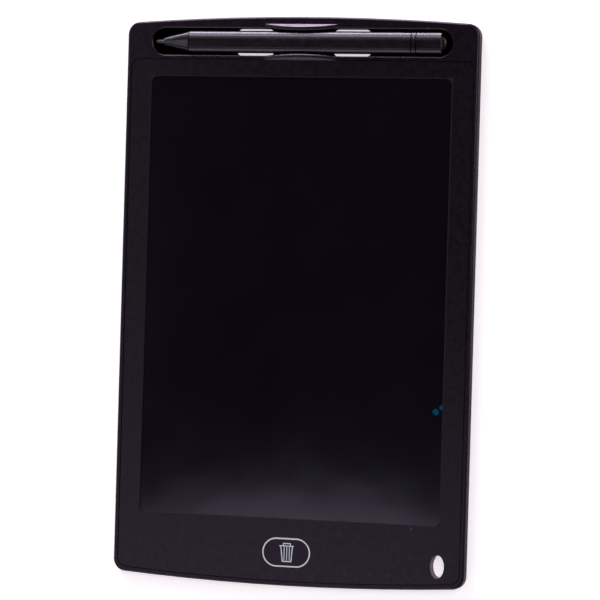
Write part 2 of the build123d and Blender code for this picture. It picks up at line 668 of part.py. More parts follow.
def make_lip():
    """Arched lip on the slot's upper side, leaning in over the stylus."""
    half = LIP_LENGTH / 2
    slot_edge = SLOT_Y + SLOT_WIDTH / 2
    inner = SLOT_Y + STYLUS_WIDTH / 2 + STYLUS_SIDE_GAP
    base = slot_edge + LIP_SETBACK
    crest = TABLET_THICKNESS + LIP_RISE
    low = TABLET_THICKNESS - SLOT_ROOF
    section = Polygon(
        (inner, low),
        (base, low),
        (base, TABLET_THICKNESS),
        (base - LIP_SLOPE_RUN, crest),
        (inner, crest),
        align=None,
    )
    plan = make_face([
        Polyline((-half, slot_edge), (-half, base), (half, base), (half, slot_edge)),
        ThreePointArc((half, slot_edge), (0, inner), (-half, slot_edge)),
    ])
    arch = make_face([
        Polyline((-half, TABLET_THICKNESS), (-half, low), (half, low), (half, TABLET_THICKNESS)),
        ThreePointArc((half, TABLET_THICKNESS), (0, crest), (-half, TABLET_THICKNESS)),
    ])
    lip = cross(section, -half, half) & rise(plan, low, crest) & along(arch, inner, base)
    top_faces = lip.faces().sort_by(Axis.Z)[-1]
    inner_edge = top_faces.edges().sort_by(Axis.Y)[0]
    return fillet(inner_edge, LIP_ROUND)


def make_frame_hollow():
    """The room inside the frame: shallow under the screen, deeper at both ends."""
    inside = case_outline(CASE_WALL)
    pen_end = inside & band(SLOT_Y - SLOT_WIDTH / 2, HALF_HEIGHT)
    board_end = inside & band(-HALF_HEIGHT, BAY_TOP)
    hollow = rise(inside, PARTING_HEIGHT - OVERRUN, TRAY_BACK)
    hollow += rise(pen_end, TRAY_BACK, TABLET_THICKNESS - SLOT_ROOF)
    return hollow + rise(board_end, TRAY_BACK, BAY_ROOF)


def make_front_frame():
    """Rim, stylus slot, clip lips, screen tray and the roof over the board."""
    frame = rise(case_outline(), PARTING_HEIGHT, TABLET_THICKNESS)
    frame = fillet(edges_at(frame, TABLET_THICKNESS), FRONT_EDGE_RADIUS)
    frame -= make_frame_hollow()
    frame += rise(slot_outline(SLOT_WALL), BACK_FLOOR, TABLET_THICKNESS)
    frame += rise(lanyard_outline(LANYARD_WALL), BACK_FLOOR, PLATE_SEAT)
    frame -= rise(slot_outline(), 0, TABLET_THICKNESS)
    rim = Pos(0, 0, TABLET_THICKNESS - SLOT_CHAMFER) * slot_outline()
    frame -= extrude(rim, amount=SLOT_CHAMFER, dir=(0, 0, 1), taper=-RIM_CHAMFER_ANGLE)
    lip = make_lip()
    frame += lip
    frame += mirror(lip, about=Plane(origin=(0, SLOT_Y, 0), z_dir=(0, 1, 0)))

    frame -= rise(plate_outline(-PLATE_GAP), PLATE_SEAT, TABLET_THICKNESS)
    frame -= rise(film_outline(CLEARANCE), TRAY_FRONT, TABLET_THICKNESS)
    frame -= rise(lanyard_outline(), 0, TABLET_THICKNESS)
    frame -= rise(key_outline(KEY_FLANGE + KEY_POCKET_GAP), TRAY_BACK, TABLET_THICKNESS)
    tail_half = TAIL_WIDTH / 2 + CLEARANCE
    tail_room = (TAIL_X - tail_half, TAIL_X + tail_half)
    tail_depth = (FILM_BOTTOM - TAIL_SLOT_WIDTH, FILM_BOTTOM + CLEARANCE)
    frame -= brick(*tail_room, *tail_depth, PARTING_HEIGHT, TABLET_THICKNESS)
    for block in snap_blocks(FIT_GAP):
        frame -= block
    return frame


# Front plate and its tape


def make_front_plate():
    """Flat sheet with the window, the key's opening and the lanyard hole."""
    plate = rise(plate_outline(), PLATE_BACK, PLATE_FRONT)
    plate = chamfer(edges_at(plate, PLATE_FRONT), PLATE_EDGE_CHAMFER)
    plate -= rise(window_outline(), PLATE_BACK, PLATE_FRONT)
    window_rim = Pos(0, 0, PLATE_FRONT - WINDOW_CHAMFER) * window_outline()
    plate -= extrude(window_rim, amount=WINDOW_CHAMFER, dir=(0, 0, 1), taper=-RIM_CHAMFER_ANGLE)
    plate -= rise(key_outline(), PLATE_BACK, PLATE_FRONT)
    return plate - rise(lanyard_outline(), PLATE_BACK, PLATE_FRONT)


def make_front_plate_tape():
    """Double-sided tape that holds the front plate on the frame's seat."""
    outline = plate_outline(PLATE_TAPE_INSET) - film_outline(2 * CLEARANCE)
    outline -= key_outline(KEY_FLANGE + KEY_POCKET_GAP + CLEARANCE)
    outline -= lanyard_outline(CLEARANCE)
    return rise(outline, PLATE_SEAT, PLATE_BACK)


# Writing film stack


def make_lcd_top_film():
    """Clear film that the stylus presses on, notched for the flex tail."""
    return rise(film_outline() - tail_notch(), CRYSTAL_FRONT, TOP_FILM_FRONT)


def make_lcd_crystal_layer():
    """Liquid crystal between the two films, short of their edges."""
    outline = film_outline(-CRYSTAL_MARGIN) - tail_notch(CRYSTAL_MARGIN)
    return rise(outline, BOTTOM_FILM_FRONT, CRYSTAL_FRONT)


def make_lcd_bottom_film():
    """Black-backed film under the liquid crystal."""
    return rise(film_outline(), FILM_TAPE_FRONT, BOTTOM_FILM_FRONT)


def make_lcd_tape():
    """Tape frame that holds the film stack on its tray."""
    outline = film_outline(-CLEARANCE) - film_outline(-CLEARANCE - FILM_TAPE_WIDTH)
    return rise(outline, TRAY_FRONT, FILM_TAPE_FRONT)


def make_lcd_flex_tail():
    """Printed ribbon from the film's edge down to the board."""
    top = BOTTOM_FILM_FRONT + TAIL_THICKNESS / 2
    bottom = BOARD_FRONT + TAIL_THICKNESS / 2
    path = (
        (FILM_BOTTOM + TAIL_LAP, top),
        (TAIL_DROP_Y, top),
        (TAIL_DROP_Y, bottom),
        (TAIL_DROP_Y - TAIL_FOOT, bottom),
    )
    ribbon = strip_outline(path, TAIL_THICKNESS, TAIL_BEND_RADIUS)
    return cross(ribbon, TAIL_X - TAIL_WIDTH / 2, TAIL_X + TAIL_WIDTH / 2)


# Erase key and the switch under it


def make_erase_key():
    """Pill-shaped key with a flange that keeps it in, and a plunger."""
    flange_high = PLATE_BACK - KEY_FLANGE_DROP
    flange_low = flange_high - KEY_FLANGE_THICKNESS
    key = rise(key_outline(-KEY_GAP), flange_low, KEY_FRONT)
    key = chamfer(edges_at(key, KEY_FRONT), KEY_CHAMFER)
    key += rise(key_outline(KEY_FLANGE), flange_low, flange_high)
    return key + disc(0, KEY_Y, KEY_PLUNGER_RADIUS, STEM_TOP, flange_low)


def make_erase_switch_base():
    """Moulded base with a round well for the dome."""
    base = Pos(0, KEY_Y) * RectangleRounded(SWITCH_SIZE, SWITCH_SIZE, SWITCH_COVER_LUG / 2)
    base = rise(base, BOARD_FRONT, SWITCH_TOP)
    well_floor = BOARD_FRONT + SWITCH_BASE_FLOOR
    return base - disc(0, KEY_Y, SWITCH_WELL_RADIUS, well_floor, SWITCH_TOP)


def make_erase_switch_cover():
    """Steel cover with a hole for the stem and two lugs folded down the sides."""
    half = SWITCH_SIZE / 2
    high = SWITCH_TOP + SWITCH_COVER_THICKNESS
    outer = half + SWITCH_COVER_THICKNESS
    cover = brick(-outer, outer, KEY_Y - half, KEY_Y + half, SWITCH_TOP, high)
    cover -= disc(0, KEY_Y, SWITCH_STEM_RADIUS + SWITCH_STEM_GAP, SWITCH_TOP, high)
    lug_low = BOARD_FRONT + SWITCH_BASE_FLOOR
    for near, far in ((-outer, -half), (half, outer)):
        lug = (near, far, KEY_Y - SWITCH_COVER_LUG, KEY_Y + SWITCH_COVER_LUG)
        cover += brick(*lug, lug_low, SWITCH_TOP)
    return cover


def make_erase_switch_dome():
    """Shallow snap dome, thin sheet on the well's floor."""
    low = BOARD_FRONT + SWITCH_BASE_FLOOR
    section = make_face([
        ThreePointArc((-DOME_RADIUS, low), (0, low + DOME_RISE), (DOME_RADIUS, low)),
        Line((DOME_RADIUS, low), (DOME_RADIUS - DOME_THICKNESS, low)),
        ThreePointArc(
            (DOME_RADIUS - DOME_THICKNESS, low),
            (0, low + DOME_RISE - DOME_THICKNESS),
            (DOME_THICKNESS - DOME_RADIUS, low),
        ),
        Line((DOME_THICKNESS - DOME_RADIUS, low), (-DOME_RADIUS, low)),
    ])
    half = section & Pos(DOME_RADIUS, low) * Rectangle(2 * DOME_RADIUS, 2 * DOME_RADIUS)
    return Pos(0, KEY_Y) * revolve(Plane.XZ * half, Axis.Z)


def make_erase_switch_stem():
    """Stem between the dome and the key's plunger, kept in by its flange."""
    low = BOARD_FRONT + SWITCH_BASE_FLOOR + DOME_RISE + DOME_GAP
    flange_high = SWITCH_TOP - DOME_GAP
    flange_low = flange_high - SWITCH_STEM_FLANGE_HEIGHT
    stem = disc(0, KEY_Y, SWITCH_STEM_RADIUS, low, STEM_TOP)
    flange_radius = SWITCH_STEM_RADIUS + SWITCH_STEM_FLANGE
    return stem + disc(0, KEY_Y, flange_radius, flange_low, flange_high)


# Circuit board and what is soldered to it


def make_circuit_board():
    """Board with two locating holes."""
    outline = RectangleRounded(BOARD_WIDTH, BOARD_HEIGHT, BOARD_CORNER_RADIUS)
    board = rise(Pos(BOARD_X, BOARD_Y) * outline, BOARD_BACK, BOARD_FRONT)
    for x, y in board_pins():
        board -= disc(x, y, BOARD_PIN_RADIUS + FIT_GAP, BOARD_BACK, BOARD_FRONT)
    return board


def make_driver_chip():
    """Moulded body of the pulse driver."""
    x, y = board_point(CHIP_PLACE_SHARE)
    low = BOARD_FRONT + CHIP_STANDOFF
    return rise(Pos(x, y) * Rectangle(CHIP_LENGTH, CHIP_WIDTH), low, low + CHIP_HEIGHT)


def make_driver_chip_leads():
    """Bent leads along both sides of the chip."""
    x, y = board_point(CHIP_PLACE_SHARE)
    low = BOARD_FRONT + CHIP_LEAD_THICKNESS / 2
    middle = BOARD_FRONT + CHIP_STANDOFF + CHIP_HEIGHT / 2
    side = CHIP_WIDTH / 2
    path = (
        (side, middle),
        (side + CHIP_LEAD_REACH / 2, middle),
        (side + CHIP_LEAD_REACH / 2, low),
        (side + CHIP_LEAD_REACH, low),
    )
    lead = strip_outline(path, CHIP_LEAD_THICKNESS, CHIP_LEAD_THICKNESS)
    leads = []
    for number in range(CHIP_LEADS_PER_SIDE):
        middle_x = x + (number - (CHIP_LEADS_PER_SIDE - 1) / 2) * CHIP_LEAD_PITCH
        one = cross(lead, middle_x - CHIP_LEAD_WIDTH / 2, middle_x + CHIP_LEAD_WIDTH / 2)
        leads.append(Pos(0, y) * one)
        leads.append(Pos(0, y) * mirror(one, about=Plane.XZ))
    return Compound(children=leads)


def make_boost_inductor():
    """Drum core: two flanges on a thinner post."""
    x, y = board_point(INDUCTOR_PLACE_SHARE)
    high = BOARD_FRONT + INDUCTOR_HEIGHT
    core = disc(x, y, INDUCTOR_CORE_RADIUS, BOARD_FRONT, high)
    core += disc(x, y, INDUCTOR_RADIUS, BOARD_FRONT, BOARD_FRONT + INDUCTOR_FLANGE)
    return core + disc(x, y, INDUCTOR_RADIUS, high - INDUCTOR_FLANGE, high)


def make_boost_inductor_winding():
    """Copper winding between the drum's flanges, as one ring."""
    x, y = board_point(INDUCTOR_PLACE_SHARE)
    low = BOARD_FRONT + INDUCTOR_FLANGE
    high = BOARD_FRONT + INDUCTOR_HEIGHT - INDUCTOR_FLANGE
    ring = disc(x, y, (INDUCTOR_RADIUS + INDUCTOR_CORE_RADIUS) / 2, low, high)
    return ring - disc(x, y, INDUCTOR_CORE_RADIUS, low, high)


def make_chips(size, shares):
    """Small soldered blocks, each narrowed in the middle between its end caps."""
    length, width, height = size
    chips = []
    for share in shares:
        x, y = board_point(share)
        chip = rise(Pos(x, y) * Rectangle(length, width), BOARD_FRONT, BOARD_FRONT + height)
        middle_length = length * (1 - 2 * END_CAP_SHARE)
        high = BOARD_FRONT + height
        waist_low = high - height * END_CAP_SHARE / 2
        chips.append(chip - rise(Pos(x, y) * Rectangle(middle_length, width), waist_low, high))
    return Compound(children=chips)


# Lock switch and knob


def lock_slot_outline():
    """The slot in the back cover, as long as the knob and its travel."""
    width = LOCK_KNOB_WIDTH + 2 * DOOR_GAP
    length = LOCK_KNOB_LENGTH + LOCK_TRAVEL + 2 * DOOR_GAP
    middle = Pos(LOCK_KNOB_X, LOCK_REST_Y + LOCK_TRAVEL / 2)
    return middle * RectangleRounded(width, length, LOCK_KNOB_RADIUS + DOOR_GAP)


def lock_block(inset_x, inset_y, low, high):
    """A block inside the lock switch's outline."""
    half_x = LOCK_SWITCH_WIDTH / 2 - inset_x
    half_y = LOCK_SWITCH_LENGTH / 2 - inset_y
    x = (LOCK_SWITCH_X - half_x, LOCK_SWITCH_X + half_x)
    return brick(*x, LOCK_SWITCH_Y - half_y, LOCK_SWITCH_Y + half_y, low, high)


def make_lock_switch_base():
    """Moulded base on the board."""
    inset = LOCK_SHELL_THICKNESS
    return lock_block(inset, inset, BOARD_FRONT, BOARD_FRONT + LOCK_BASE_HEIGHT)


def make_lock_switch_shell():
    """Steel shell, open below and windowed for the lever."""
    high = BOARD_FRONT + LOCK_SWITCH_HEIGHT
    inset = LOCK_SHELL_THICKNESS
    shell = lock_block(0, 0, BOARD_FRONT, high)
    shell -= lock_block(inset, inset, BOARD_FRONT, high - LOCK_SHELL_THICKNESS)
    half = (LOCK_LEVER_WIDTH + LOCK_TRAVEL) / 2 + FIT_GAP
    window = (LOCK_SWITCH_X, BOARD_RIGHT, LOCK_SWITCH_Y - half, LOCK_SWITCH_Y + half)
    low = BOARD_FRONT + LOCK_BASE_HEIGHT
    return shell - brick(*window, low, low + LOCK_LEVER_HEIGHT + 2 * FIT_GAP)


def make_lock_switch_lever():
    """Lever with its carriage inside the shell."""
    low = BOARD_FRONT + LOCK_BASE_HEIGHT + FIT_GAP
    high = low + LOCK_LEVER_HEIGHT
    inset = LOCK_SHELL_THICKNESS + FIT_GAP
    left = LOCK_SWITCH_X - LOCK_SWITCH_WIDTH / 2 + inset
    right = LOCK_SWITCH_X + LOCK_SWITCH_WIDTH / 2 - inset
    half = LOCK_CARRIAGE_LENGTH / 2
    lever = brick(left, right, LOCK_REST_Y - half, LOCK_REST_Y + half, low, high)
    half = LOCK_LEVER_WIDTH / 2
    tip = BOARD_RIGHT + LOCK_LEVER_REACH
    return lever + brick(left, tip, LOCK_REST_Y - half, LOCK_REST_Y + half, low, high)


def make_lock_knob():
    """Ribbed thumb pad, its flange inside the cover, and a fork round the lever."""
    pad = RectangleRounded(LOCK_KNOB_WIDTH, LOCK_KNOB_LENGTH, LOCK_KNOB_RADIUS)
    flange_low = BACK_FLOOR + FIT_GAP
    flange_high = flange_low + LOCK_FLANGE_THICKNESS
    knob = rise(Pos(LOCK_KNOB_X, LOCK_REST_Y) * pad, LOCK_KNOB_SINK, flange_high)
    for number in range(LOCK_KNOB_GROOVES):
        y = LOCK_REST_Y + (number - (LOCK_KNOB_GROOVES - 1) / 2) * LOCK_KNOB_GROOVE_PITCH
        groove = Pos(LOCK_KNOB_X, y) * Rectangle(LOCK_KNOB_WIDTH, LOCK_KNOB_GROOVE_WIDTH)
        knob -= rise(groove, 0, LOCK_KNOB_SINK + LOCK_KNOB_GROOVE_DEPTH)
    left = BOARD_RIGHT + 2 * CLEARANCE
    right = LOCK_KNOB_X + LOCK_KNOB_WIDTH / 2 + LOCK_FLANGE_OVERLAP
    half = LOCK_KNOB_LENGTH / 2 + LOCK_TRAVEL + LOCK_FLANGE_OVERLAP
    knob += brick(left, right, LOCK_REST_Y - half, LOCK_REST_Y + half, flange_low, flange_high)
    lever_top = BOARD_FRONT + LOCK_BASE_HEIGHT + FIT_GAP + LOCK_LEVER_HEIGHT
    finger_high = lever_top + LOCK_FINGER_STAND
    for side in (-1, 1):
        inner = LOCK_REST_Y + side * (LOCK_LEVER_WIDTH / 2 + FIT_GAP)
        outer = inner + side * LOCK_FINGER_THICKNESS
        finger = (left, left + LOCK_FINGER_WIDTH, min(inner, outer), max(inner, outer))
        knob += brick(*finger, flange_low, finger_high)
    return knob


# Coin cell and its contacts


def make_cell_can():
    """Steel cup, the cell's positive side, facing the door."""
    crimp = CELL_FRONT - CELL_CRIMP_DROP
    can = disc(CELL_X, CELL_Y, CELL_RADIUS, CELL_BACK, crimp)
    return can - disc(CELL_X, CELL_Y, CELL_RADIUS - CELL_SHEET, CELL_BACK + CELL_SHEET, crimp)


def make_cell_gasket():
    """Sealing ring between the can and the cap."""
    low = CELL_BACK + CELL_SHEET
    high = CELL_FRONT - CELL_CRIMP_DROP / 2
    ring = disc(CELL_X, CELL_Y, CELL_RADIUS - CELL_SHEET, low, high)
    return ring - disc(CELL_X, CELL_Y, CELL_CAP_RADIUS, low, high)


def make_cell_cap():
    """Steel cap, the cell's negative side."""
    low = CELL_BACK + 2 * CELL_SHEET
    cap = disc(CELL_X, CELL_Y, CELL_CAP_RADIUS, low, CELL_FRONT)
    inside = CELL_CAP_RADIUS - CELL_SHEET
    return cap - disc(CELL_X, CELL_Y, inside, low, CELL_FRONT - CELL_SHEET)


def make_cell_pellet():
    """Electrodes and separator, pressed into one disc."""
    radius = CELL_CAP_RADIUS - CELL_SHEET
    return disc(CELL_X, CELL_Y, radius, CELL_BACK + CELL_SHEET, CELL_FRONT - CELL_SHEET)


def make_contact_negative():
    """Sprung strip from the board over the well's wall onto the cell's cap."""
    foot = BOARD_FRONT + CONTACT_THICKNESS / 2
    high = CELL_FRONT + CONTACT_RISE + CONTACT_THICKNESS / 2
    touch = CELL_FRONT + CONTACT_GAP + CONTACT_THICKNESS / 2
    path = (
        (BOARD_LEFT + CONTACT_FOOT, foot),
        (BOARD_LEFT - CONTACT_THICKNESS, foot),
        (BOARD_LEFT - CONTACT_FOOT / 2, high),
        (CELL_X + CONTACT_OFFSET, high),
        (CELL_X + CONTACT_WIDTH, touch),
        (CELL_X, touch),
    )
    strip = strip_outline(path, CONTACT_THICKNESS, CONTACT_BEND_RADIUS)
    y = CELL_Y - CONTACT_OFFSET
    return along(strip, y - CONTACT_WIDTH / 2, y + CONTACT_WIDTH / 2)


def make_contact_positive():
    """Blade on edge that presses on the side of the can, with a soldered foot."""
    reach = CELL_RADIUS + CONTACT_GAP + CONTACT_THICKNESS / 2
    angle = radians(CONTACT_ANGLE)
    slide = (CONTACT_OFFSET - reach * sin(angle)) / cos(angle)
    corner = (CELL_X + reach * cos(angle) - slide * sin(angle), CELL_Y + CONTACT_OFFSET)
    tail_x = CELL_X + reach * cos(angle) - CONTACT_BLADE_TAIL * sin(angle)
    tail_y = CELL_Y + reach * sin(angle) + CONTACT_BLADE_TAIL * cos(angle)
    start_x = BOARD_LEFT - CONTACT_THICKNESS
    path = ((start_x, CELL_Y + CONTACT_OFFSET), corner, (tail_x, tail_y))
    high = BOARD_FRONT + CONTACT_THICKNESS
    blade = strip_outline(path, CONTACT_THICKNESS, CONTACT_BEND_RADIUS)
    contact = rise(blade, high - CONTACT_BLADE_HEIGHT, high)
    foot = (start_x - CONTACT_FOOT_OVERHANG, BOARD_LEFT + CONTACT_FOOT)
    half = CONTACT_WIDTH / 2
    y = CELL_Y + CONTACT_OFFSET
    return contact + brick(*foot, y - half, y + half, BOARD_FRONT, high)


# Stylus


def make_stylus_nib():
    """Rounded plastic tip with a shank in the nose cone."""
    root = STYLUS_TIP + NIB_REACH
    end = root + NIB_SHANK_LENGTH
    shank = NIB_ROOT_RADIUS - SPIGOT_GAP
    profile = make_face([
        TangentArc((STYLUS_TIP, 0), (STYLUS_TIP + NIB_TIP_RADIUS, NIB_TIP_RADIUS), tangent=(0, 1)),
        Polyline(
            (STYLUS_TIP + NIB_TIP_RADIUS, NIB_TIP_RADIUS),
            (root, NIB_ROOT_RADIUS),
            (root, shank),
            (end, shank),
            (end, 0),
            (STYLUS_TIP, 0),
        ),
    ])
    return Pos(0, SLOT_Y, STYLUS_Z) * revolve(profile, Axis.X)


def make_stylus_nose_cone():
    """Tapered flat nose, bored for the nib, with a spigot for the barrel."""
    front = STYLUS_TIP + NIB_REACH
    back = front + CONE_LENGTH
    tip = RectangleRounded(CONE_TIP_WIDTH, CONE_TIP_THICKNESS, CONE_TIP_RADIUS)
    nose = loft([across_stylus(front) * tip, stylus_section(back, CONE_ROOT_STEP)])
    nose += stylus_length(SEAM_DEPTH, back, BARREL_FRONT)
    spigot = STYLUS_WALL + SPIGOT_GAP
    nose += stylus_length(spigot, BARREL_FRONT, BARREL_FRONT + CONE_SPIGOT_LENGTH)
    bore = across_stylus(front) * Circle(NIB_ROOT_RADIUS)
    return nose - extrude(bore, amount=NIB_SHANK_LENGTH + SPIGOT_GAP, dir=(1, 0, 0))


def make_stylus_barrel():
    """Straight tube between the nose cone and the collar ring."""
    barrel = stylus_length(0, BARREL_FRONT, BARREL_BACK)
    return barrel - stylus_length(STYLUS_WALL, BARREL_FRONT, BARREL_BACK)


def make_stylus_ring():
    """Collar ring with a lower shoulder that shows as a groove beside the barrel."""
    ring = stylus_length(SEAM_DEPTH, BARREL_BACK, RING_FRONT)
    ring += stylus_length(0, RING_FRONT, RING_BACK)
    return ring - stylus_length(STYLUS_WALL, BARREL_BACK, RING_BACK)


def plug_stem(grow):
    """The part of the plug that is pressed into the end cap, grown by an even amount."""
    step = PLUG_STEP + PLUG_STEM_STEP - grow
    outline = Rectangle(STYLUS_WIDTH - 2 * step, STYLUS_THICKNESS - 2 * step)
    start = CAP_BACK - PLUG_DEPTH - grow
    return extrude(across_stylus(start) * outline, amount=CAP_BACK - start, dir=(1, 0, 0))


def make_stylus_end_cap():
    """End cap with a spigot through the ring and a socket for the plug."""
    front = RING_BACK + SEAM_WIDTH
    cap = stylus_length(0, front, CAP_BACK)
    cap = fillet(cap.faces().sort_by(Axis.X)[-1].edges(), END_CAP_ROUND)
    cap += stylus_length(SEAM_DEPTH, RING_BACK, front)
    cap += stylus_length(STYLUS_WALL + SPIGOT_GAP, BARREL_BACK - END_SPIGOT_LENGTH, RING_BACK)
    return cap - plug_stem(SPIGOT_GAP)


def make_stylus_end_plug():
    """Dark plug with a rounded end, pressed into the end cap."""
    half = STYLUS_WIDTH / 2 - PLUG_STEP
    low = (CAP_BACK, SLOT_Y - half)
    high = (CAP_BACK, SLOT_Y + half)
    plan = make_face([
        ThreePointArc(low, (CAP_BACK + PLUG_RISE, SLOT_Y), high),
        Line(high, low),
    ])
    half_thickness = STYLUS_THICKNESS / 2 - PLUG_STEP
    plug = rise(plan, STYLUS_Z - half_thickness, STYLUS_Z + half_thickness)
    plug = fillet(plug.edges().filter_by(GeomType.CIRCLE), PLUG_ROUND)
    return plug + plug_stem(0)


PIECES = {
    "back_cover": make_back_cover(),
    "front_frame": make_front_frame(),
    "front_plate": make_front_plate(),
    "front_plate_tape": make_front_plate_tape(),
    "lcd_top_film": make_lcd_top_film(),
    "lcd_crystal_layer": make_lcd_crystal_layer(),
    "lcd_bottom_film": make_lcd_bottom_film(),
    "lcd_tape": make_lcd_tape(),
    "lcd_flex_tail": make_lcd_flex_tail(),
    "erase_key": make_erase_key(),
    "erase_switch_base": make_erase_switch_base(),
    "erase_switch_cover": make_erase_switch_cover(),
    "erase_switch_dome": make_erase_switch_dome(),
    "erase_switch_stem": make_erase_switch_stem(),
    "circuit_board": make_circuit_board(),
    "driver_chip": make_driver_chip(),
    "driver_chip_leads": make_driver_chip_leads(),
    "boost_inductor_core": make_boost_inductor(),
    "boost_inductor_winding": make_boost_inductor_winding(),
    "smd_capacitors": make_chips(CAPACITOR_SIZE, CAPACITOR_PLACE_SHARES),
    "smd_resistors": make_chips(RESISTOR_SIZE, RESISTOR_PLACE_SHARES),
    "rectifier_diodes": make_chips(DIODE_SIZE, DIODE_PLACE_SHARES),
    "lock_switch_base": make_lock_switch_base(),
    "lock_switch_shell": make_lock_switch_shell(),
    "lock_switch_lever": make_lock_switch_lever(),
    "lock_knob": make_lock_knob(),
    "cell_can": make_cell_can(),
    "cell_gasket": make_cell_gasket(),
    "cell_cap": make_cell_cap(),
    "cell_pellet": make_cell_pellet(),
    "contact_positive": make_contact_positive(),
    "contact_negative": make_contact_negative(),
    "battery_door": make_battery_door(),
    "battery_door_screw": make_battery_door_screw(),
    "stylus_nib": make_stylus_nib(),
    "stylus_nose_cone": make_stylus_nose_cone(),
    "stylus_barrel": make_stylus_barrel(),
    "stylus_ring": make_stylus_ring(),
    "stylus_end_cap": make_stylus_end_cap(),
    "stylus_end_plug": make_stylus_end_plug(),
}

for name, piece in PIECES.items():
    export_step(piece, f"parts/{name}.step")
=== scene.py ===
import math
import bmesh
import bpy
from mathutils import Euler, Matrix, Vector


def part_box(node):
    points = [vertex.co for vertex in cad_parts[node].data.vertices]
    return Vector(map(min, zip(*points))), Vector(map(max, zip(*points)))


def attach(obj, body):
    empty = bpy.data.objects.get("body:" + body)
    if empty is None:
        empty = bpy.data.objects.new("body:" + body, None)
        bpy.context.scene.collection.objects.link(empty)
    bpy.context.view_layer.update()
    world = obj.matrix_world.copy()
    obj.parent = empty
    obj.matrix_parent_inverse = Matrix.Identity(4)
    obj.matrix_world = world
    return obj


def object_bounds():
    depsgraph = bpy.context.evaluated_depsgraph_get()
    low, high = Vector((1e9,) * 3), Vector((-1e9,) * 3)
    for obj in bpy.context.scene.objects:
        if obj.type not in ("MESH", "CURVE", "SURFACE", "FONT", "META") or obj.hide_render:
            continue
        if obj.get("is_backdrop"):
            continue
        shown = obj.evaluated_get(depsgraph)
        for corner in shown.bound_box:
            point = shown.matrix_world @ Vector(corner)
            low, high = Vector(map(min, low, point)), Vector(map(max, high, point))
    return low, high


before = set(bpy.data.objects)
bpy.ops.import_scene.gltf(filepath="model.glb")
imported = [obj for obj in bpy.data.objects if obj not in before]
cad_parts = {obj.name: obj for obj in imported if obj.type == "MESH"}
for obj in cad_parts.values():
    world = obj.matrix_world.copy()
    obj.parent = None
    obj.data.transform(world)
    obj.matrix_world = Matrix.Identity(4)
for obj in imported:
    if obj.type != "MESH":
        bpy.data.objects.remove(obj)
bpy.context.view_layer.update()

# The studio: the tablet lies on its back on a plain white floor with a round white wall far away.
# The camera looks down on it from the right, and soft boxes and overhead cards light it. Glossy
# faces mirror the floor only from some way out, because close to the tablet it is in its shade.
CAMERA_PLACE = (0.36968, 0.01167, 1.21537)
CAMERA_TURN = (0.00758, 16.87265, 1.73388)
CAMERA_LENS = 192.249
WORLD_TINT = (0.92, 0.80, 1.0, 1)
WORLD_STRENGTH = 0.012
FLOOR_RADIUS = 6.0
FLOOR_SEGMENTS = 96
FLOOR_DROP = 0.0001
WALL_HEIGHT = 4.0
PAPER_WHITE = (0.85, 0.84, 0.85, 1)
GLOW_TINT = (1, 0.93, 0.97, 1)
NEAR_RADIUS = 0.35
FAR_RADIUS = 1.2
NEAR_GLOW = 0.66
FAR_GLOW = 1.0
MIRRORED_GLOW = 0.26
STRIP_TINT = (1.0, 0.95, 1.0)
BOX_TINT = (1.0, 0.97, 1.0)
HIGH_TINT = (0.98, 0.97, 1.0)
CARD_TINT = (0.96, 0.92, 1.0)
CARD_HEIGHT = 1.43
BOXES = {  # place, size, brightness and tint
    "top_strip": ((-0.46, 1.34, 0.17), (0.80, 0.33), 19.0, STRIP_TINT),
    "top_fill": ((-0.42, 1.00, 0.80), (0.55, 0.50), 5.5, STRIP_TINT),
    "right_box": ((0.95, 0.55, 1.05), (0.8, 0.8), 1.5, BOX_TINT),
    "high_box": ((0.45, 0.35, 1.35), (0.6, 0.6), 2.6, HIGH_TINT),
    "left_box": ((-1.10, 0.10, 1.05), (0.7, 0.7), 0.9, BOX_TINT),
    "front_box": ((-0.30, -1.15, 0.60), (1.3, 0.9), 1.2, BOX_TINT),
}
CARDS = {  # place over the floor, size and brightness
    "low_card": ((-0.418, -0.283), (0.43, 0.206), 1.10),
    "left_card": ((-0.66, -0.03), (0.10, 0.60), 0.52),
    "nose_card": ((-0.95, 0.26), (0.32, 0.30), 1.3),
    "corner_card": ((-0.74, -0.42), (0.34, 0.50), 0.68),
    "right_card": ((-0.12, -0.42), (0.40, 0.40), 0.52),
}


def add_node(tree, kind, inputs=None, **settings):
    """Add a shader node. Inputs are numbers, colours or other nodes' outputs."""
    node = tree.nodes.new("ShaderNode" + kind)
    for key, value in settings.items():
        setattr(node, key, value)
    for key, value in (inputs or {}).items():
        if isinstance(value, bpy.types.NodeSocket):
            tree.links.new(value, node.inputs[key])
        else:
            node.inputs[key].default_value = value
    return node


def calc(tree, operation, *values, clamp=False):
    """Work out one number from numbers or other nodes' outputs."""
    inputs = dict(enumerate(values))
    return add_node(tree, "Math", inputs, operation=operation, use_clamp=clamp).outputs[0]


def ramp(tree, value, start, end, low=0.0, high=1.0, kind="LINEAR"):
    """Low before the start, high after the end, and an even or smooth passage between them."""
    return add_node(tree, "MapRange", {
        "Value": value, "From Min": start, "From Max": end, "To Min": low, "To Max": high,
    }, interpolation_type=kind).outputs[0]


def add_mesh(name, shape, finish):
    """Put a finished bmesh into the scene as a piece with its material."""
    mesh = bpy.data.meshes.new(name)
    shape.to_mesh(mesh)
    shape.free()
    mesh.materials.append(finish)
    piece = bpy.data.objects.new(name, mesh)
    bpy.context.scene.collection.objects.link(piece)
    return piece


def add_lamp(name, shape, place, size, brightness, tint):
    """A flat soft lamp that faces straight down until it is turned."""
    lamp = bpy.data.lights.new(name, "AREA")
    lamp.shape = shape
    lamp.size, lamp.size_y = size
    lamp.energy = brightness * math.pi * size[0] * size[1]
    lamp.color = tint
    holder = bpy.data.objects.new(name, lamp)
    holder.location = place
    holder.visible_camera = False
    bpy.context.scene.collection.objects.link(holder)
    return holder


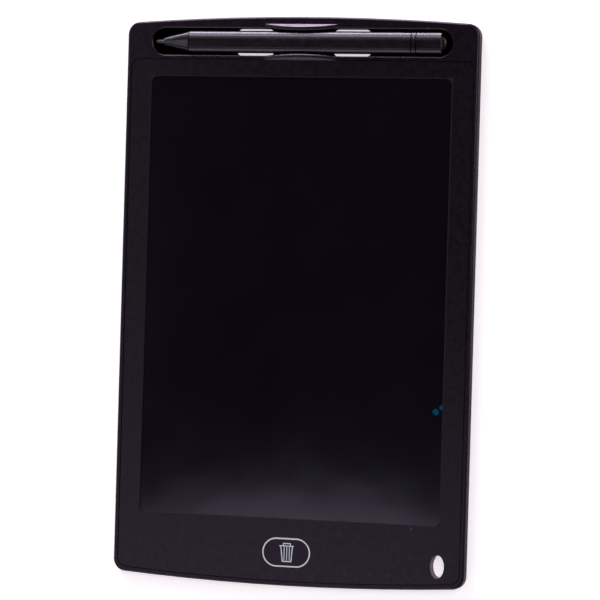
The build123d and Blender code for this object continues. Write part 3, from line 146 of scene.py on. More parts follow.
lens = bpy.data.cameras.new("camera")
lens.lens = CAMERA_LENS
camera = bpy.data.objects.new("camera", lens)
camera.location = CAMERA_PLACE
camera.rotation_euler = Euler([math.radians(angle) for angle in CAMERA_TURN], "XYZ")
bpy.context.scene.collection.objects.link(camera)
bpy.context.scene.camera = camera
bpy.context.scene.view_settings.view_transform = "Standard"

world = bpy.data.worlds.new("studio")
world.use_nodes = True
background = world.node_tree.nodes["Background"]
background.inputs["Color"].default_value = WORLD_TINT
background.inputs["Strength"].default_value = WORLD_STRENGTH
bpy.context.scene.world = world

white = bpy.data.materials.new("studio_white")
white.use_nodes = True
tree = white.node_tree
tree.nodes.clear()
ray = add_node(tree, "LightPath")
seen = calc(tree, "MAXIMUM", ray.outputs["Is Camera Ray"], ray.outputs["Is Transmission Ray"])
place = add_node(tree, "TexCoord").outputs["Object"]
reach = add_node(tree, "VectorMath", {0: place}, operation="LENGTH").outputs["Value"]
glow = ramp(tree, reach, NEAR_RADIUS, FAR_RADIUS, NEAR_GLOW, FAR_GLOW)
glow = calc(tree, "MULTIPLY", glow, seen)
mirrored = ramp(tree, reach, NEAR_RADIUS, FAR_RADIUS, 0.0, MIRRORED_GLOW)
glow = calc(tree, "MULTIPLY_ADD", mirrored, ray.outputs["Is Glossy Ray"], glow)
paper = add_node(tree, "BsdfDiffuse", {"Color": PAPER_WHITE})
light = add_node(tree, "Emission", {"Color": GLOW_TINT, "Strength": glow})
both = add_node(tree, "AddShader", {0: paper.outputs[0], 1: light.outputs[0]})
add_node(tree, "OutputMaterial", {"Surface": both.outputs[0]})

shape = bmesh.new()
bmesh.ops.create_circle(shape, cap_ends=True, segments=FLOOR_SEGMENTS, radius=FLOOR_RADIUS)
wall = bmesh.ops.extrude_edge_only(shape, edges=shape.edges[:])["geom"]
wall_top = [corner for corner in wall if isinstance(corner, bmesh.types.BMVert)]
bmesh.ops.translate(shape, vec=(0, 0, WALL_HEIGHT), verts=wall_top)
bmesh.ops.translate(shape, vec=(0, 0, -FLOOR_DROP), verts=shape.verts)
bmesh.ops.recalc_face_normals(shape, faces=shape.faces)
floor = add_mesh("floor", shape, white)
floor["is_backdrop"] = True

for name, (place, size, brightness, tint) in BOXES.items():
    holder = add_lamp(name, "RECTANGLE", place, size, brightness, tint)
    holder.rotation_mode = "QUATERNION"
    holder.rotation_quaternion = (-Vector(place)).to_track_quat("-Z", "Y")
for name, (place, size, brightness) in CARDS.items():
    add_lamp(name, "ELLIPSE", (*place, CARD_HEIGHT), size, brightness, CARD_TINT)


# Case: the back cover and the front frame are moulded in black ABS with a fine sparked texture.
# They snap together at the parting line. Their outer edges are rubbed smoother by handling.
CASE_BLACK = (0.0018, 0.0011, 0.0021, 1)
CASE_GREY = (0.0030, 0.0020, 0.0034, 1)
BLACK_SHEEN = (0.92, 0.70, 1.0, 1)
DUST_GREY = (0.72, 0.70, 0.75, 1)
UNPAINTED = (0.01, 0.01, 0.01, 1)
UNTINTED = (1, 1, 1, 1)
CLOUD_LOW = 0.3  # Blender's noise seldom leaves this range
CLOUD_HIGH = 0.7
HALF_WIDTH = 0.0725
HALF_HEIGHT = 0.1125
END_BOW = 0.00265  # how much less the tablet's corners reach than the middle of its ends
RUBBED_WIDTH = 0.0009
RUBBED_GREY = (0.012, 0.010, 0.013, 1)
RUBBED_POLISH = -0.06  # change of roughness
RIM_WIDTH = 0.0012
SUNK_BELOW = 0.0047  # heights between which a face is in a recess
BACK_FACE_HEIGHT = 0.0007
SUNK_FADE = 0.0006
# near black painted as shade in the case's recesses, and the colour of the stylus's joint gaps
SHADE_AND_JOINT_BLACK = (0.0002, 0.0001, 0.0002, 1)
LANYARD_X = 0.0616
LANYARD_Y = -0.1016
LANYARD_HALF_WIDTH = 0.002725
LANYARD_HALF_HEIGHT = 0.004475
BORE_REACH = 1.012  # in half sizes of the hole
# painted highlight on the lanyard hole's wall
BORE_HIGHLIGHT_GREY = (0.50, 0.44, 0.47, 1)


def new_finish(name, colour=UNPAINTED, sheen=UNTINTED, metallic=0.0):
    """A fresh material: its node tree, its shader and the piece's own coordinates."""
    finish = bpy.data.materials.new(name)
    finish.use_nodes = True
    tree = finish.node_tree
    shader = tree.nodes["Principled BSDF"]
    shader.inputs["Base Color"].default_value = colour
    shader.inputs["Specular Tint"].default_value = sheen
    shader.inputs["Metallic"].default_value = metallic
    return finish, tree, shader, add_node(tree, "TexCoord").outputs["Object"]


def dress(finish, *nodes):
    """Give carried-over pieces their finish."""
    for node in nodes:
        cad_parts[node].data.materials.clear()
        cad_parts[node].data.materials.append(finish)


def mottle(tree, place, size, low, high, detail=3.0):
    """A cloudy value between low and high, in patches of the given size."""
    cloud = add_node(tree, "TexNoise", {"Vector": place, "Scale": 1 / size, "Detail": detail})
    return ramp(tree, cloud.outputs["Fac"], CLOUD_LOW, CLOUD_HIGH, low, high)


def blend_colours(tree, share, first, second):
    """The first colour where the share is 0, and the second where it is 1."""
    mix = add_node(tree, "Mix", {0: share, 6: first, 7: second}, data_type="RGBA")
    return mix.outputs[2]


def clouded(tree, place, size, share, first, second):
    """The first colour with clouds of the second in it, up to the given share."""
    return blend_colours(tree, mottle(tree, place, size, 0.0, share), first, second)


def dusted(tree, place, colour, size, pitch, share, dust=DUST_GREY):
    """The colour with dust specks on it, in a share of the cells of the given pitch."""
    cells = add_node(tree, "TexVoronoi", {"Vector": place, "Scale": 1 / pitch})
    lottery = add_node(tree, "SeparateColor", {0: cells.outputs["Color"]})
    chosen = calc(tree, "LESS_THAN", lottery.outputs[0], share)
    reach = calc(tree, "MULTIPLY", lottery.outputs[1], size / pitch)
    close = calc(tree, "LESS_THAN", cells.outputs["Distance"], reach)
    return blend_colours(tree, calc(tree, "MULTIPLY", chosen, close), colour, dust)


def relief(tree, shader, height, depth, under=None):
    """Turn a height between 0 and 1 into relief of the given depth, on top of any under it."""
    bump = add_node(tree, "Bump", {"Height": height, "Distance": depth, "Strength": 1.0})
    if under is not None:
        tree.links.new(under, bump.inputs["Normal"])
    tree.links.new(bump.outputs[0], shader.inputs["Normal"])
    return bump.outputs[0]


def add_grain(tree, shader, place, size, depth, detail=2.0, twist=0.0, under=None):
    """Cloudy relief with bumps of the given size and depth."""
    cloud = add_node(tree, "TexNoise", {
        "Vector": place, "Scale": 1 / size, "Detail": detail, "Distortion": twist,
    })
    relief(tree, shader, cloud.outputs["Fac"], depth, under)


def rubbed_rim(tree, place):
    """1 at the outer edge of the case, where hands rub it, falling to 0 inside."""
    parts = add_node(tree, "SeparateXYZ", {0: place})
    side = calc(tree, "ABSOLUTE", parts.outputs[0])
    end = calc(tree, "ABSOLUTE", parts.outputs[1])
    bow = calc(tree, "MULTIPLY_ADD", calc(tree, "POWER", side, 2.0), END_BOW / HALF_WIDTH ** 2, end)
    near_side = ramp(tree, side, HALF_WIDTH - RUBBED_WIDTH, HALF_WIDTH)
    near_end = ramp(tree, bow, HALF_HEIGHT - RUBBED_WIDTH, HALF_HEIGHT)
    uneven = mottle(tree, place, size=0.006, low=0.2, high=1.0)
    return calc(tree, "MULTIPLY", calc(tree, "MAXIMUM", near_side, near_end), uneven)


def recesses(tree, place):
    """1 on faces recessed under the front, in the slot and the plate's seat, where shade is
    painted, and 0 elsewhere.
    """
    parts = add_node(tree, "SeparateXYZ", {0: place})
    side = calc(tree, "ABSOLUTE", parts.outputs[0])
    inboard = calc(tree, "LESS_THAN", side, HALF_WIDTH - RIM_WIDTH)
    low = ramp(tree, parts.outputs[2], SUNK_BELOW - SUNK_FADE, SUNK_BELOW, 1.0, 0.0)
    raised = calc(tree, "GREATER_THAN", parts.outputs[2], BACK_FACE_HEIGHT)
    return calc(tree, "MULTIPLY", calc(tree, "MULTIPLY", low, inboard), raised)


def lanyard_bore_highlight(tree, place):
    """1 on the wall of the lanyard hole, where a light grey highlight is painted, and 0 elsewhere.
    """
    inward = add_node(tree, "Mapping", {
        "Vector": place,
        "Location": (-LANYARD_X / LANYARD_HALF_WIDTH, -LANYARD_Y / LANYARD_HALF_HEIGHT, 0),
        "Scale": (1 / LANYARD_HALF_WIDTH, 1 / LANYARD_HALF_HEIGHT, 0),
    })
    reach = add_node(tree, "VectorMath", {0: inward.outputs[0]}, operation="LENGTH")
    return calc(tree, "LESS_THAN", reach.outputs["Value"], BORE_REACH)


case_finish, tree, shader, place = new_finish("case_sparked_black", sheen=BLACK_SHEEN)
rim = rubbed_rim(tree, place)
recess_shade = recesses(tree, place)
colour = clouded(tree, place, size=0.012, share=0.6, first=CASE_BLACK, second=CASE_GREY)
colour = blend_colours(tree, rim, colour, RUBBED_GREY)
colour = dusted(tree, place, colour, size=0.00018, pitch=0.012, share=0.25)
# Painted shade: the recesses are painted near black.
colour = blend_colours(tree, recess_shade, colour, SHADE_AND_JOINT_BLACK)
# Painted highlight: the lanyard hole's wall is painted light grey.
colour = blend_colours(tree, lanyard_bore_highlight(tree, place), colour, BORE_HIGHLIGHT_GREY)
tree.links.new(colour, shader.inputs["Base Color"])
satin = mottle(tree, place, size=0.0022, low=0.25, high=0.31)
polished = calc(tree, "MULTIPLY_ADD", rim, RUBBED_POLISH, satin)
tree.links.new(polished, shader.inputs["Roughness"])
# Painted shade: even black plastic mirrors the lamps and black metal doesn't, so the recesses are
# set metallic to mirror nothing.
tree.links.new(recess_shade, shader.inputs["Metallic"])
add_grain(tree, shader, place, size=0.00016, depth=0.000004)
dress(case_finish, "back_cover", "front_frame")


# Circuit board: green solder mask over copper tracks on glass cloth, resting on pads of the back
# cover. Its two holes sit on the cover's pins.
MASK_GREEN = (0.006, 0.060, 0.022, 1)
TRACK_GREEN = (0.020, 0.130, 0.045, 1)
TRACK_PITCH = 0.0011
TRACK_BEND = 1.5
TRACK_START = 0.62
TRACK_END = 0.72
TRACK_DEPTH = 0.00003
WAVE_TURN = 20.0  # radians that Blender's bands turn in a metre at scale 1


def bands(tree, place, direction, pitch, bend=0.0):
    """Even ridges across a direction: a height between 0 and 1."""
    scale = 2 * math.pi / (WAVE_TURN * pitch)
    wave = add_node(tree, "TexWave", {
        "Vector": place, "Scale": scale, "Distortion": bend, "Detail": 0.0,
    }, wave_type="BANDS", bands_direction=direction)
    return wave.outputs["Fac"]


def uneven_gloss(tree, shader, place, size, low, high, detail=3.0):
    """Let the roughness wander between low and high, in patches of the given size."""
    tree.links.new(mottle(tree, place, size, low, high, detail), shader.inputs["Roughness"])


board_finish, tree, shader, place = new_finish("board_green")
track = ramp(tree, bands(tree, place, "Y", TRACK_PITCH, TRACK_BEND), TRACK_START, TRACK_END)
where = mottle(tree, place, size=0.004, low=-0.6, high=1.2)
track = calc(tree, "MULTIPLY", track, where, clamp=True)
tree.links.new(blend_colours(tree, track, MASK_GREEN, TRACK_GREEN), shader.inputs["Base Color"])
uneven_gloss(tree, shader, place, size=0.002, low=0.22, high=0.38)
relief(tree, shader, track, TRACK_DEPTH)
dress(board_finish, "circuit_board")


# Soldered parts: a moulded driver chip and two diodes, tinned leads, a drum inductor with enamelled
# copper wire, tan capacitors and black resistors with tinned ends. All are soldered to the board.
CHIP_BLACK = (0.012, 0.012, 0.013, 1)
LEAD_TIN = (0.58, 0.58, 0.56, 1)
FERRITE_GREY = (0.035, 0.033, 0.036, 1)
PORE_SIZE = 0.00012
PORE_DEPTH = 0.000008
ENAMELLED_COPPER = (0.60, 0.21, 0.07, 1)
ENAMEL_COAT = 0.6
WIRE_PITCH = 0.00012
WIRE_DEPTH = 0.00004
END_TIN = (0.55, 0.55, 0.53, 1)
SOLDERED = {  # body colour, its lighter clouds, and the depth of the ends' tinned tops
    "smd_capacitors": ((0.36, 0.22, 0.10, 1), (0.468, 0.286, 0.130, 1), 0.000018),
    "smd_resistors": ((0.012, 0.012, 0.012, 1), (0.0156, 0.0156, 0.0156, 1), 0.000009),
}

chip_finish, tree, shader, place = new_finish("chip_moulded", CHIP_BLACK)
uneven_gloss(tree, shader, place, size=0.0008, low=0.55, high=0.75)
add_grain(tree, shader, place, size=0.00005, depth=0.000006)
dress(chip_finish, "driver_chip", "rectifier_diodes")

tin_finish, tree, shader, place = new_finish("tinned", LEAD_TIN, metallic=1.0)
uneven_gloss(tree, shader, place, size=0.0006, low=0.22, high=0.42)
add_grain(tree, shader, place, size=0.0003, depth=0.00001)
dress(tin_finish, "driver_chip_leads")

ferrite_finish, tree, shader, place = new_finish("ferrite", FERRITE_GREY)
uneven_gloss(tree, shader, place, size=0.0005, low=0.45, high=0.65)
pores = add_node(tree, "TexVoronoi", {"Vector": place, "Scale": 1 / PORE_SIZE})
relief(tree, shader, pores.outputs["Distance"], PORE_DEPTH)
dress(ferrite_finish, "boost_inductor_core")

wire_finish, tree, shader, place = new_finish("enamelled_wire", ENAMELLED_COPPER, metallic=1.0)
shader.inputs["Coat Weight"].default_value = ENAMEL_COAT
uneven_gloss(tree, shader, place, size=0.0004, low=0.25, high=0.4)
relief(tree, shader, bands(tree, place, "Z", WIRE_PITCH), WIRE_DEPTH)
dress(wire_finish, "boost_inductor_winding")

for node, (body, light_body, end_depth) in SOLDERED.items():
    finish, tree, shader, place = new_finish(node + "_finish")
    height = add_node(tree, "SeparateXYZ", {0: place}).outputs[2]
    on_end = calc(tree, "GREATER_THAN", height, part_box(node)[1].z - end_depth)
    colour = clouded(tree, place, size=0.0003, share=1.0, first=body, second=light_body)
    colour = blend_colours(tree, on_end, colour, END_TIN)
    tree.links.new(colour, shader.inputs["Base Color"])
    tree.links.new(on_end, shader.inputs["Metallic"])
    uneven_gloss(tree, shader, place, size=0.0003, low=0.3, high=0.5)
    dress(finish, node)


# Coin cell: nickel-plated steel can and cap, a dark sealing ring and the pressed electrodes between
# them. It drops into the well from behind and is held by the battery door.
NICKEL = (0.62, 0.61, 0.59, 1)
SEAL_BLACK = (0.03, 0.03, 0.032, 1)
POWDER_BLACK = (0.05, 0.05, 0.055, 1)

cell_finish, tree, shader, place = new_finish("nickel_plate", NICKEL, metallic=1.0)
uneven_gloss(tree, shader, place, size=0.0012, low=0.20, high=0.36)
add_grain(tree, shader, place, size=0.0004, depth=0.000008, detail=6.0, twist=2.0)
dress(cell_finish, "cell_can", "cell_cap")

seal_finish, tree, shader, place = new_finish("seal", SEAL_BLACK)
uneven_gloss(tree, shader, place, size=0.0006, low=0.5, high=0.7)
dress(seal_finish, "cell_gasket")

powder_finish, tree, shader, place = new_finish("pressed_powder", POWDER_BLACK)
uneven_gloss(tree, shader, place, size=0.0004, low=0.8, high=0.95)
add_grain(tree, shader, place, size=0.00008, depth=0.00002, detail=4.0)
dress(powder_finish, "cell_pellet")


# Spring contacts and switch sheet metal: bright spring steel, rolled along its length.
# The contacts are soldered to the board; the switch covers are folded over their bases.
SPRING_STEEL = (0.58, 0.56, 0.52, 1)
ROLLED_SQUEEZE = (12.0, 1.0, 12.0)
ROLLED_SIZE = 0.0025
ROLLED_SMOOTH = 0.18
ROLLED_ROUGH = 0.42
ROLLED_DEPTH = 0.000004

spring_finish, tree, shader, place = new_finish("spring_steel", SPRING_STEEL, metallic=1.0)
squeezed = add_node(tree, "Mapping", {"Vector": place, "Scale": ROLLED_SQUEEZE}).outputs[0]
rolled = add_node(tree, "TexNoise", {"Vector": squeezed, "Scale": 1 / ROLLED_SIZE, "Detail": 3.0})
rolled = rolled.outputs["Fac"]
rough = ramp(tree, rolled, 0.0, 1.0, ROLLED_SMOOTH, ROLLED_ROUGH)
tree.links.new(rough, shader.inputs["Roughness"])
relief(tree, shader, rolled, ROLLED_DEPTH)
dress(spring_finish, "contact_positive", "contact_negative")
dress(spring_finish, "erase_switch_cover", "erase_switch_dome", "lock_switch_shell")


# Switch mouldings: glass-filled black plastic bases, stem and lever.
# The stem stands on the dome, and the lever slides inside the lock switch's shell.
SWITCH_BLACK = (0.016, 0.015, 0.016, 1)

switch_finish, tree, shader, place = new_finish("switch_moulding", SWITCH_BLACK)
uneven_gloss(tree, shader, place, size=0.0007, low=0.45, high=0.65)
add_grain(tree, shader, place, size=0.0001, depth=0.000006, detail=3.0)
dress(switch_finish, "erase_switch_base", "erase_switch_stem")
dress(switch_finish, "lock_switch_base", "lock_switch_lever")


# Lock knob and battery door: black ABS like the case, but worn smoother where a thumb pushes them.
# The knob slides in its slot; the door hooks in on two tongues and is held by one black screw.
SCREW_ZINC = (0.10, 0.10, 0.105, 1)

thumb_finish, tree, shader, place = new_finish("thumbed_black", sheen=BLACK_SHEEN)
colour = clouded(tree, place, size=0.008, share=0.8, first=CASE_BLACK, second=CASE_GREY)
colour = dusted(tree, place, colour, size=0.0002, pitch=0.009, share=0.2)
tree.links.new(colour, shader.inputs["Base Color"])
uneven_gloss(tree, shader, place, size=0.003, low=0.27, high=0.38)
add_grain(tree, shader, place, size=0.00016, depth=0.000004)
dress(thumb_finish, "battery_door", "lock_knob")

screw_finish, tree, shader, place = new_finish("black_zinc", SCREW_ZINC, metallic=1.0)
uneven_gloss(tree, shader, place, size=0.0004, low=0.28, high=0.5)
add_grain(tree, shader, place, size=0.0002, depth=0.000006, detail=3.0)
dress(screw_finish, "battery_door_screw")


# Tapes: thin black double-sided tape, cut as frames. One holds the film stack on the tray,
# the other holds the front plate on its seat.
TAPE_BLACK = (0.018, 0.018, 0.019, 1)
CREPE_PITCH = 0.0005
CREPE_BEND = 4.0
CREPE_DEPTH = 0.000015

tape_finish, tree, shader, place = new_finish("black_tape", TAPE_BLACK)
uneven_gloss(tree, shader, place, size=0.001, low=0.6, high=0.85)
relief(tree, shader, bands(tree, place, "Y", CREPE_PITCH, CREPE_BEND), CREPE_DEPTH)
dress(tape_finish, "front_plate_tape", "lcd_tape")


# Writing film stack: two plastic films with liquid crystal between them, glossy in front and black
# on the back, with a printed ribbon to the board. The stylus leaves blue-green lines on it, and two
# small marks were left at the right edge. The top film is faintly wavy.
FILM_BLACK = (0.0040, 0.0031, 0.0058, 1)
FILM_GREY = (0.0050, 0.0040, 0.0072, 1)
FILM_SHEEN = (0.86, 0.79, 1.0, 1)
FILM_DUST = (0.10, 0.10, 0.12, 1)
FILM_WAVE = 0.022
FILM_WAVE_DEPTH = 0.00004
MARK_BLUE = (0.0004, 0.070, 0.150, 1)
MARKS = (((0.0591, -0.0412, 0.0), 0.0013), ((0.0615, -0.0395, 0.0), 0.0010))  # place, radius
MARK_WOBBLE = 0.15
MARK_INNER = 0.75
MARK_OUTER = 1.15
CRYSTAL_BLUE = (0.003, 0.006, 0.008, 1)
BACKING_BLACK = (0.008, 0.008, 0.008, 1)
RIBBON_AMBER = (0.30, 0.12, 0.02, 1)
TRACE_AMBER = (0.42, 0.22, 0.06, 1)
TRACE_PITCH = 0.001
TRACE_START = 0.45
TRACE_END = 0.55
TRACE_DEPTH = 0.00002


def pressed_marks(tree, place):
    """1 inside the small pressed marks, fading at their edges."""
    flat = add_node(tree, "VectorMath", {0: place, 1: (1, 1, 0)}, operation="MULTIPLY").outputs[0]
    marks = 0.0
    for spot, radius in MARKS:
        reach = add_node(tree, "VectorMath", {0: flat, 1: spot}, operation="DISTANCE")
        spread = MARK_WOBBLE * radius
        wobble = mottle(tree, place, size=0.0008, low=-spread, high=spread)
        reach = calc(tree, "ADD", reach.outputs["Value"], wobble)
        mark = ramp(tree, reach, radius * MARK_INNER, radius * MARK_OUTER, 1.0, 0.0)
        marks = calc(tree, "MAXIMUM", marks, mark)
    return marks


film_finish, tree, shader, place = new_finish("writing_film", FILM_BLACK, FILM_SHEEN)
colour = clouded(tree, place, size=0.03, share=1.0, first=FILM_BLACK, second=FILM_GREY)
colour = blend_colours(tree, pressed_marks(tree, place), colour, MARK_BLUE)
colour = dusted(tree, place, colour, size=0.00016, pitch=0.016, share=0.25, dust=FILM_DUST)
tree.links.new(colour, shader.inputs["Base Color"])
uneven_gloss(tree, shader, place, size=0.018, low=0.080, high=0.105, detail=5.0)
add_grain(tree, shader, place, size=FILM_WAVE, depth=FILM_WAVE_DEPTH, detail=1.0)
dress(film_finish, "lcd_top_film")

crystal_finish, tree, shader, place = new_finish("liquid_crystal", FILM_BLACK)
colour = clouded(tree, place, size=0.002, share=1.0, first=FILM_BLACK, second=CRYSTAL_BLUE)
tree.links.new(colour, shader.inputs["Base Color"])
uneven_gloss(tree, shader, place, size=0.002, low=0.3, high=0.45)
dress(crystal_finish, "lcd_crystal_layer")

backing_finish, tree, shader, place = new_finish("black_backing", BACKING_BLACK)
uneven_gloss(tree, shader, place, size=0.003, low=0.6, high=0.8)
add_grain(tree, shader, place, size=0.0003, depth=0.000005, detail=3.0)
dress(backing_finish, "lcd_bottom_film")

tail_finish, tree, shader, place = new_finish("printed_ribbon")
trace = ramp(tree, bands(tree, place, "X", TRACE_PITCH), TRACE_START, TRACE_END)
tree.links.new(blend_colours(tree, trace, RIBBON_AMBER, TRACE_AMBER), shader.inputs["Base Color"])
uneven_gloss(tree, shader, place, size=0.002, low=0.25, high=0.4)
relief(tree, shader, trace, TRACE_DEPTH)
dress(tail_finish, "lcd_flex_tail")


# Front plate: a flat black sheet with a fine matte print, taped on round the screen.
# It is a touch lighter and flatter than the case. The cut edge round its window is dull, and is
# painted darker as shade.
PLATE_BLACK = (0.0013, 0.0009, 0.0017, 1)
PLATE_GREY = (0.0023, 0.0017, 0.0028, 1)
PLATE_SHEEN = (0.92, 0.78, 1.0, 1)
WINDOW_HALF_WIDTH = 0.0619
WINDOW_LOW = -0.08575
WINDOW_HIGH = 0.08855
CUT_WIDTH = 0.0004
# painted shade on the bevel round the window
CUT_SHADE_BLACK = (0.0006, 0.0004, 0.0008, 1)
CUT_ROUGHNESS = 0.8


def window_cut(tree, place):
    """1 on the bevelled edge round the window, and 0 on the plate's flat face."""
    parts = add_node(tree, "SeparateXYZ", {0: place})
    side = calc(tree, "ABSOLUTE", parts.outputs[0])
    end = calc(tree, "SUBTRACT", parts.outputs[1], (WINDOW_LOW + WINDOW_HIGH) / 2)
    end = calc(tree, "ABSOLUTE", end)
    near_side = calc(tree, "LESS_THAN", side, WINDOW_HALF_WIDTH + CUT_WIDTH)
    near_end = calc(tree, "LESS_THAN", end, (WINDOW_HIGH - WINDOW_LOW) / 2 + CUT_WIDTH)
    return calc(tree, "MULTIPLY", near_side, near_end)


plate_finish, tree, shader, place = new_finish("plate_matte_black", sheen=PLATE_SHEEN)
cut = window_cut(tree, place)
colour = clouded(tree, place, size=0.015, share=0.8, first=PLATE_BLACK, second=PLATE_GREY)
colour = dusted(tree, place, colour, size=0.00020, pitch=0.012, share=0.30)
# Painted highlight: the lanyard hole's wall is painted light grey.
colour = blend_colours(tree, lanyard_bore_highlight(tree, place), colour, BORE_HIGHLIGHT_GREY)
# Painted shade: the bevel round the window is painted darker, and its higher roughness is the dull
# cut.
colour = blend_colours(tree, cut, colour, CUT_SHADE_BLACK)
tree.links.new(colour, shader.inputs["Base Color"])
matte = mottle(tree, place, size=0.0025, low=0.25, high=0.31)
tree.links.new(ramp(tree, cut, 0.0, 1.0, matte, CUT_ROUGHNESS), shader.inputs["Roughness"])
add_grain(tree, shader, place, size=0.00013, depth=0.000004)
dress(plate_finish, "front_plate")


# Erase key: a satin black pill that moves in its opening, with a white ring and a bin sign printed
# on it. The print is one thin layer of ink that moves with the key.
KEY_BLACK = (0.0026, 0.0019, 0.0034, 1)
KEY_GREY = (0.0042, 0.0032, 0.0052, 1)
INK_WHITE = (0.84, 0.87, 0.97, 1)
INK_WORN = (0.68, 0.71, 0.82, 1)
INK_SUNK = 0.000005
INK_PROUD = 0.000015
KEY_CENTRE = (0.0, -0.09925)
RING_LENGTH = 0.0198
RING_HEIGHT = 0.0115
RING_STROKE = 0.00054
RING_SEGMENTS = 96
BIN_TOP = -0.09665
BIN_BOTTOM = -0.10295
BIN_LID = (-0.00285, 0.00310)
BIN_BODY_TOP = (-0.00245, 0.00275)
BIN_BODY_BOTTOM = (-0.00170, 0.00225)
BIN_HANDLE = (-0.00140, 0.00190)
BIN_HANDLE_TOP = -0.09545
BIN_STROKE = 0.00040
BIN_BARS = (-0.00085, 0.00025, 0.00132)
BAR_STROKE = 0.00032
BARS_BELOW_LID = 0.00020
BARS_ABOVE_BOTTOM = 0.00056

key_finish, tree, shader, place = new_finish("key_satin_black", sheen=BLACK_SHEEN)
colour = clouded(tree, place, size=0.006, share=0.8, first=KEY_BLACK, second=KEY_GREY)
colour = dusted(tree, place, colour, size=0.00012, pitch=0.006, share=0.15)
tree.links.new(colour, shader.inputs["Base Color"])
uneven_gloss(tree, shader, place, size=0.002, low=0.27, high=0.33)
add_grain(tree, shader, place, size=0.00013, depth=0.000004)
dress(key_finish, "erase_key")

ink_finish, tree, shader, place = new_finish("white_ink")
colour = clouded(tree, place, size=0.0007, share=0.6, first=INK_WHITE, second=INK_WORN)
tree.links.new(colour, shader.inputs["Base Color"])
uneven_gloss(tree, shader, place, size=0.001, low=0.5, high=0.7)
add_grain(tree, shader, place, size=0.00015, depth=0.000006)
key_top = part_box("erase_key")[1].z


def raise_ink(shape):
    """Give flat printed faces their thickness, up from just inside the key's face."""
    bmesh.ops.translate(shape, vec=(0, 0, key_top - INK_SUNK), verts=shape.verts)
    grown = bmesh.ops.extrude_face_region(shape, geom=shape.faces[:])["geom"]
    raised = [corner for corner in grown if isinstance(corner, bmesh.types.BMVert)]
    bmesh.ops.translate(shape, vec=(0, 0, INK_SUNK + INK_PROUD), verts=raised)
    bmesh.ops.recalc_face_normals(shape, faces=shape.faces)


shape = bmesh.new()
bmesh.ops.create_circle(shape, cap_ends=True, segments=RING_SEGMENTS, radius=RING_HEIGHT / 2)
slide = (RING_LENGTH - RING_HEIGHT) / 2
for corner in shape.verts:
    corner.co.x += slide if corner.co.x > 0 else -slide
pill = shape.faces[:]
bmesh.ops.inset_region(
    shape, faces=pill, thickness=RING_STROKE, use_even_offset=True, use_boundary=True,
)
bmesh.ops.delete(shape, geom=pill, context="FACES")
bmesh.ops.translate(shape, vec=(*KEY_CENTRE, 0), verts=shape.verts)
raise_ink(shape)
ring_print = add_mesh("key_ring_print", shape, ink_finish)
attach(ring_print, "erase_key")

lid_low = BIN_TOP - BIN_STROKE / 2
lid_high = BIN_TOP + BIN_STROKE / 2
base_high = BIN_BOTTOM + BIN_STROKE
grip_low = BIN_HANDLE_TOP - BIN_STROKE
lid = [(BIN_LID[0], lid_high), (BIN_LID[0], lid_low), (BIN_LID[1], lid_low), (BIN_LID[1], lid_high)]
bin_body = [
    (BIN_BODY_TOP[0], lid_low), (BIN_BODY_BOTTOM[0], BIN_BOTTOM),
    (BIN_BODY_BOTTOM[1], BIN_BOTTOM), (BIN_BODY_TOP[1], lid_low),
    (BIN_BODY_TOP[1] - BIN_STROKE, lid_low), (BIN_BODY_BOTTOM[1] - BIN_STROKE, base_high),
    (BIN_BODY_BOTTOM[0] + BIN_STROKE, base_high), (BIN_BODY_TOP[0] + BIN_STROKE, lid_low),
]
handle = [
    (BIN_HANDLE[0], BIN_HANDLE_TOP), (BIN_HANDLE[0], lid_high),
    (BIN_HANDLE[0] + BIN_STROKE, lid_high), (BIN_HANDLE[0] + BIN_STROKE, grip_low),
    (BIN_HANDLE[1] - BIN_STROKE, grip_low), (BIN_HANDLE[1] - BIN_STROKE, lid_high),
    (BIN_HANDLE[1], lid_high), (BIN_HANDLE[1], BIN_HANDLE_TOP),
]
outlines = [lid, bin_body, handle]
high = lid_low - BARS_BELOW_LID
low = BIN_BOTTOM + BARS_ABOVE_BOTTOM
for x in BIN_BARS:
    left, right = x - BAR_STROKE / 2, x + BAR_STROKE / 2
    outlines.append([(left, high), (left, low), (right, low), (right, high)])
shape = bmesh.new()
for outline in outlines:
    shape.faces.new([shape.verts.new((x, y, 0)) for x, y in outline])
raise_ink(shape)
bin_print = add_mesh("key_bin_print", shape, ink_finish)
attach(bin_print, "erase_key")


# Stylus: a hollow flat satin black ABS pen of nib, nose cone, barrel, ring and end cap, pressed
# together, with a dark rounded plug in its end. It lies in the slot between the two lips. Its broad
# faces are slightly crowned, and its joints are fine dark gaps.
PEN_BLACK = (0.0014, 0.0010, 0.0019, 1)
PEN_GREY = (0.0026, 0.0020, 0.0034, 1)
PEN_SHEEN = (0.87, 0.80, 1.0, 1)
PEN_INDEX = 1.58  # index of refraction, for a glossier skin
PEN_Y = 0.1025
PEN_HALF_WIDTH = 0.00445
CONE_TIP_SHARE = 0.3  # the nose cone's tip over the barrel, in width and crown
CROWN_HEIGHT = 0.00055
CROWN_START = 0.07  # where the crown falls off, in half widths from the pen's middle line
CROWN_END = 0.85
LOWER_START = -0.45
LOWER_END = -0.95
LOWER_SHARE = 0.70
JOINT_HALF_WIDTH = 0.00020
NIB_GREY = (0.040, 0.034, 0.042, 1)
PLUG_BLACK = (0.0015, 0.0018, 0.0022, 1)

cone_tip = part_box("stylus_nose_cone")[0].x
barrel_start, barrel_end = (corner.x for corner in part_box("stylus_barrel"))
ring_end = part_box("stylus_ring")[1].x

pen_finish, tree, shader, place = new_finish("stylus_satin_black", sheen=PEN_SHEEN)
shader.inputs["IOR"].default_value = PEN_INDEX
parts = add_node(tree, "SeparateXYZ", {0: place})
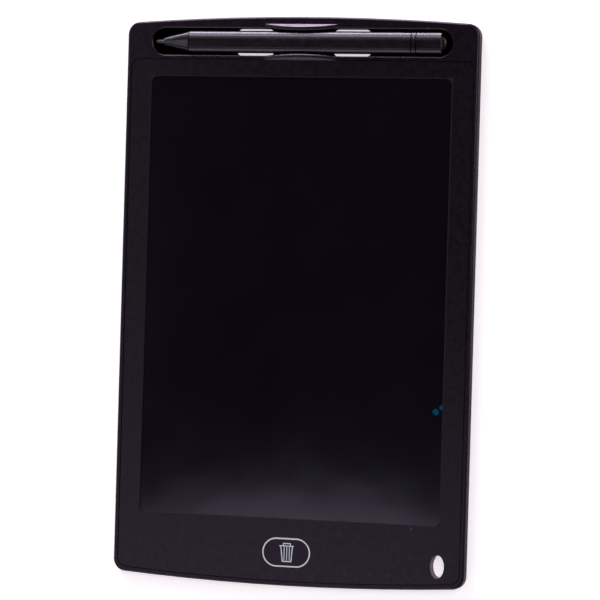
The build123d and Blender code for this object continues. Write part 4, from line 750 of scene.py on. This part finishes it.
# The joints are black gaps, kept from mirroring the lamps as the case's recesses are.
joints = 0.0
for middle in (barrel_start, barrel_end + JOINT_HALF_WIDTH, ring_end + JOINT_HALF_WIDTH):
    joint = calc(tree, "COMPARE", parts.outputs[0], middle, JOINT_HALF_WIDTH)
    joints = calc(tree, "MAXIMUM", joints, joint)
colour = clouded(tree, place, size=0.010, share=1.0, first=PEN_BLACK, second=PEN_GREY)
colour = dusted(tree, place, colour, size=0.00012, pitch=0.007, share=0.20)
colour = blend_colours(tree, joints, colour, SHADE_AND_JOINT_BLACK)
tree.links.new(colour, shader.inputs["Base Color"])
tree.links.new(joints, shader.inputs["Metallic"])
uneven_gloss(tree, shader, place, size=0.004, low=0.24, high=0.30)
taper = ramp(tree, parts.outputs[0], cone_tip, barrel_start, CONE_TIP_SHARE, 1.0)
across = calc(tree, "SUBTRACT", parts.outputs[1], PEN_Y)
reach = calc(tree, "DIVIDE", across, calc(tree, "MULTIPLY", taper, PEN_HALF_WIDTH))
upper = ramp(tree, reach, CROWN_START, CROWN_END, 1.0, 0.0, kind="SMOOTHSTEP")
lower = ramp(tree, reach, LOWER_END, LOWER_START, LOWER_SHARE, 1.0, kind="SMOOTHSTEP")
crown = calc(tree, "MULTIPLY", calc(tree, "MULTIPLY", upper, lower), taper)
crowned = relief(tree, shader, crown, CROWN_HEIGHT)
add_grain(tree, shader, place, size=0.0002, depth=0.000006, under=crowned)
dress(pen_finish, "stylus_nose_cone", "stylus_barrel", "stylus_ring", "stylus_end_cap")

nib_finish, tree, shader, place = new_finish("nib_grey", NIB_GREY)
uneven_gloss(tree, shader, place, size=0.001, low=0.14, high=0.22)
add_grain(tree, shader, place, size=0.0002, depth=0.000008, detail=3.0)
dress(nib_finish, "stylus_nib")

plug_finish, tree, shader, place = new_finish("plug_black", PLUG_BLACK)
uneven_gloss(tree, shader, place, size=0.002, low=0.22, high=0.32)
add_grain(tree, shader, place, size=0.0015, depth=0.00001, detail=1.0)
dress(plug_finish, "stylus_end_plug")


# The whole object's box as dressed.
low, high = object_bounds()
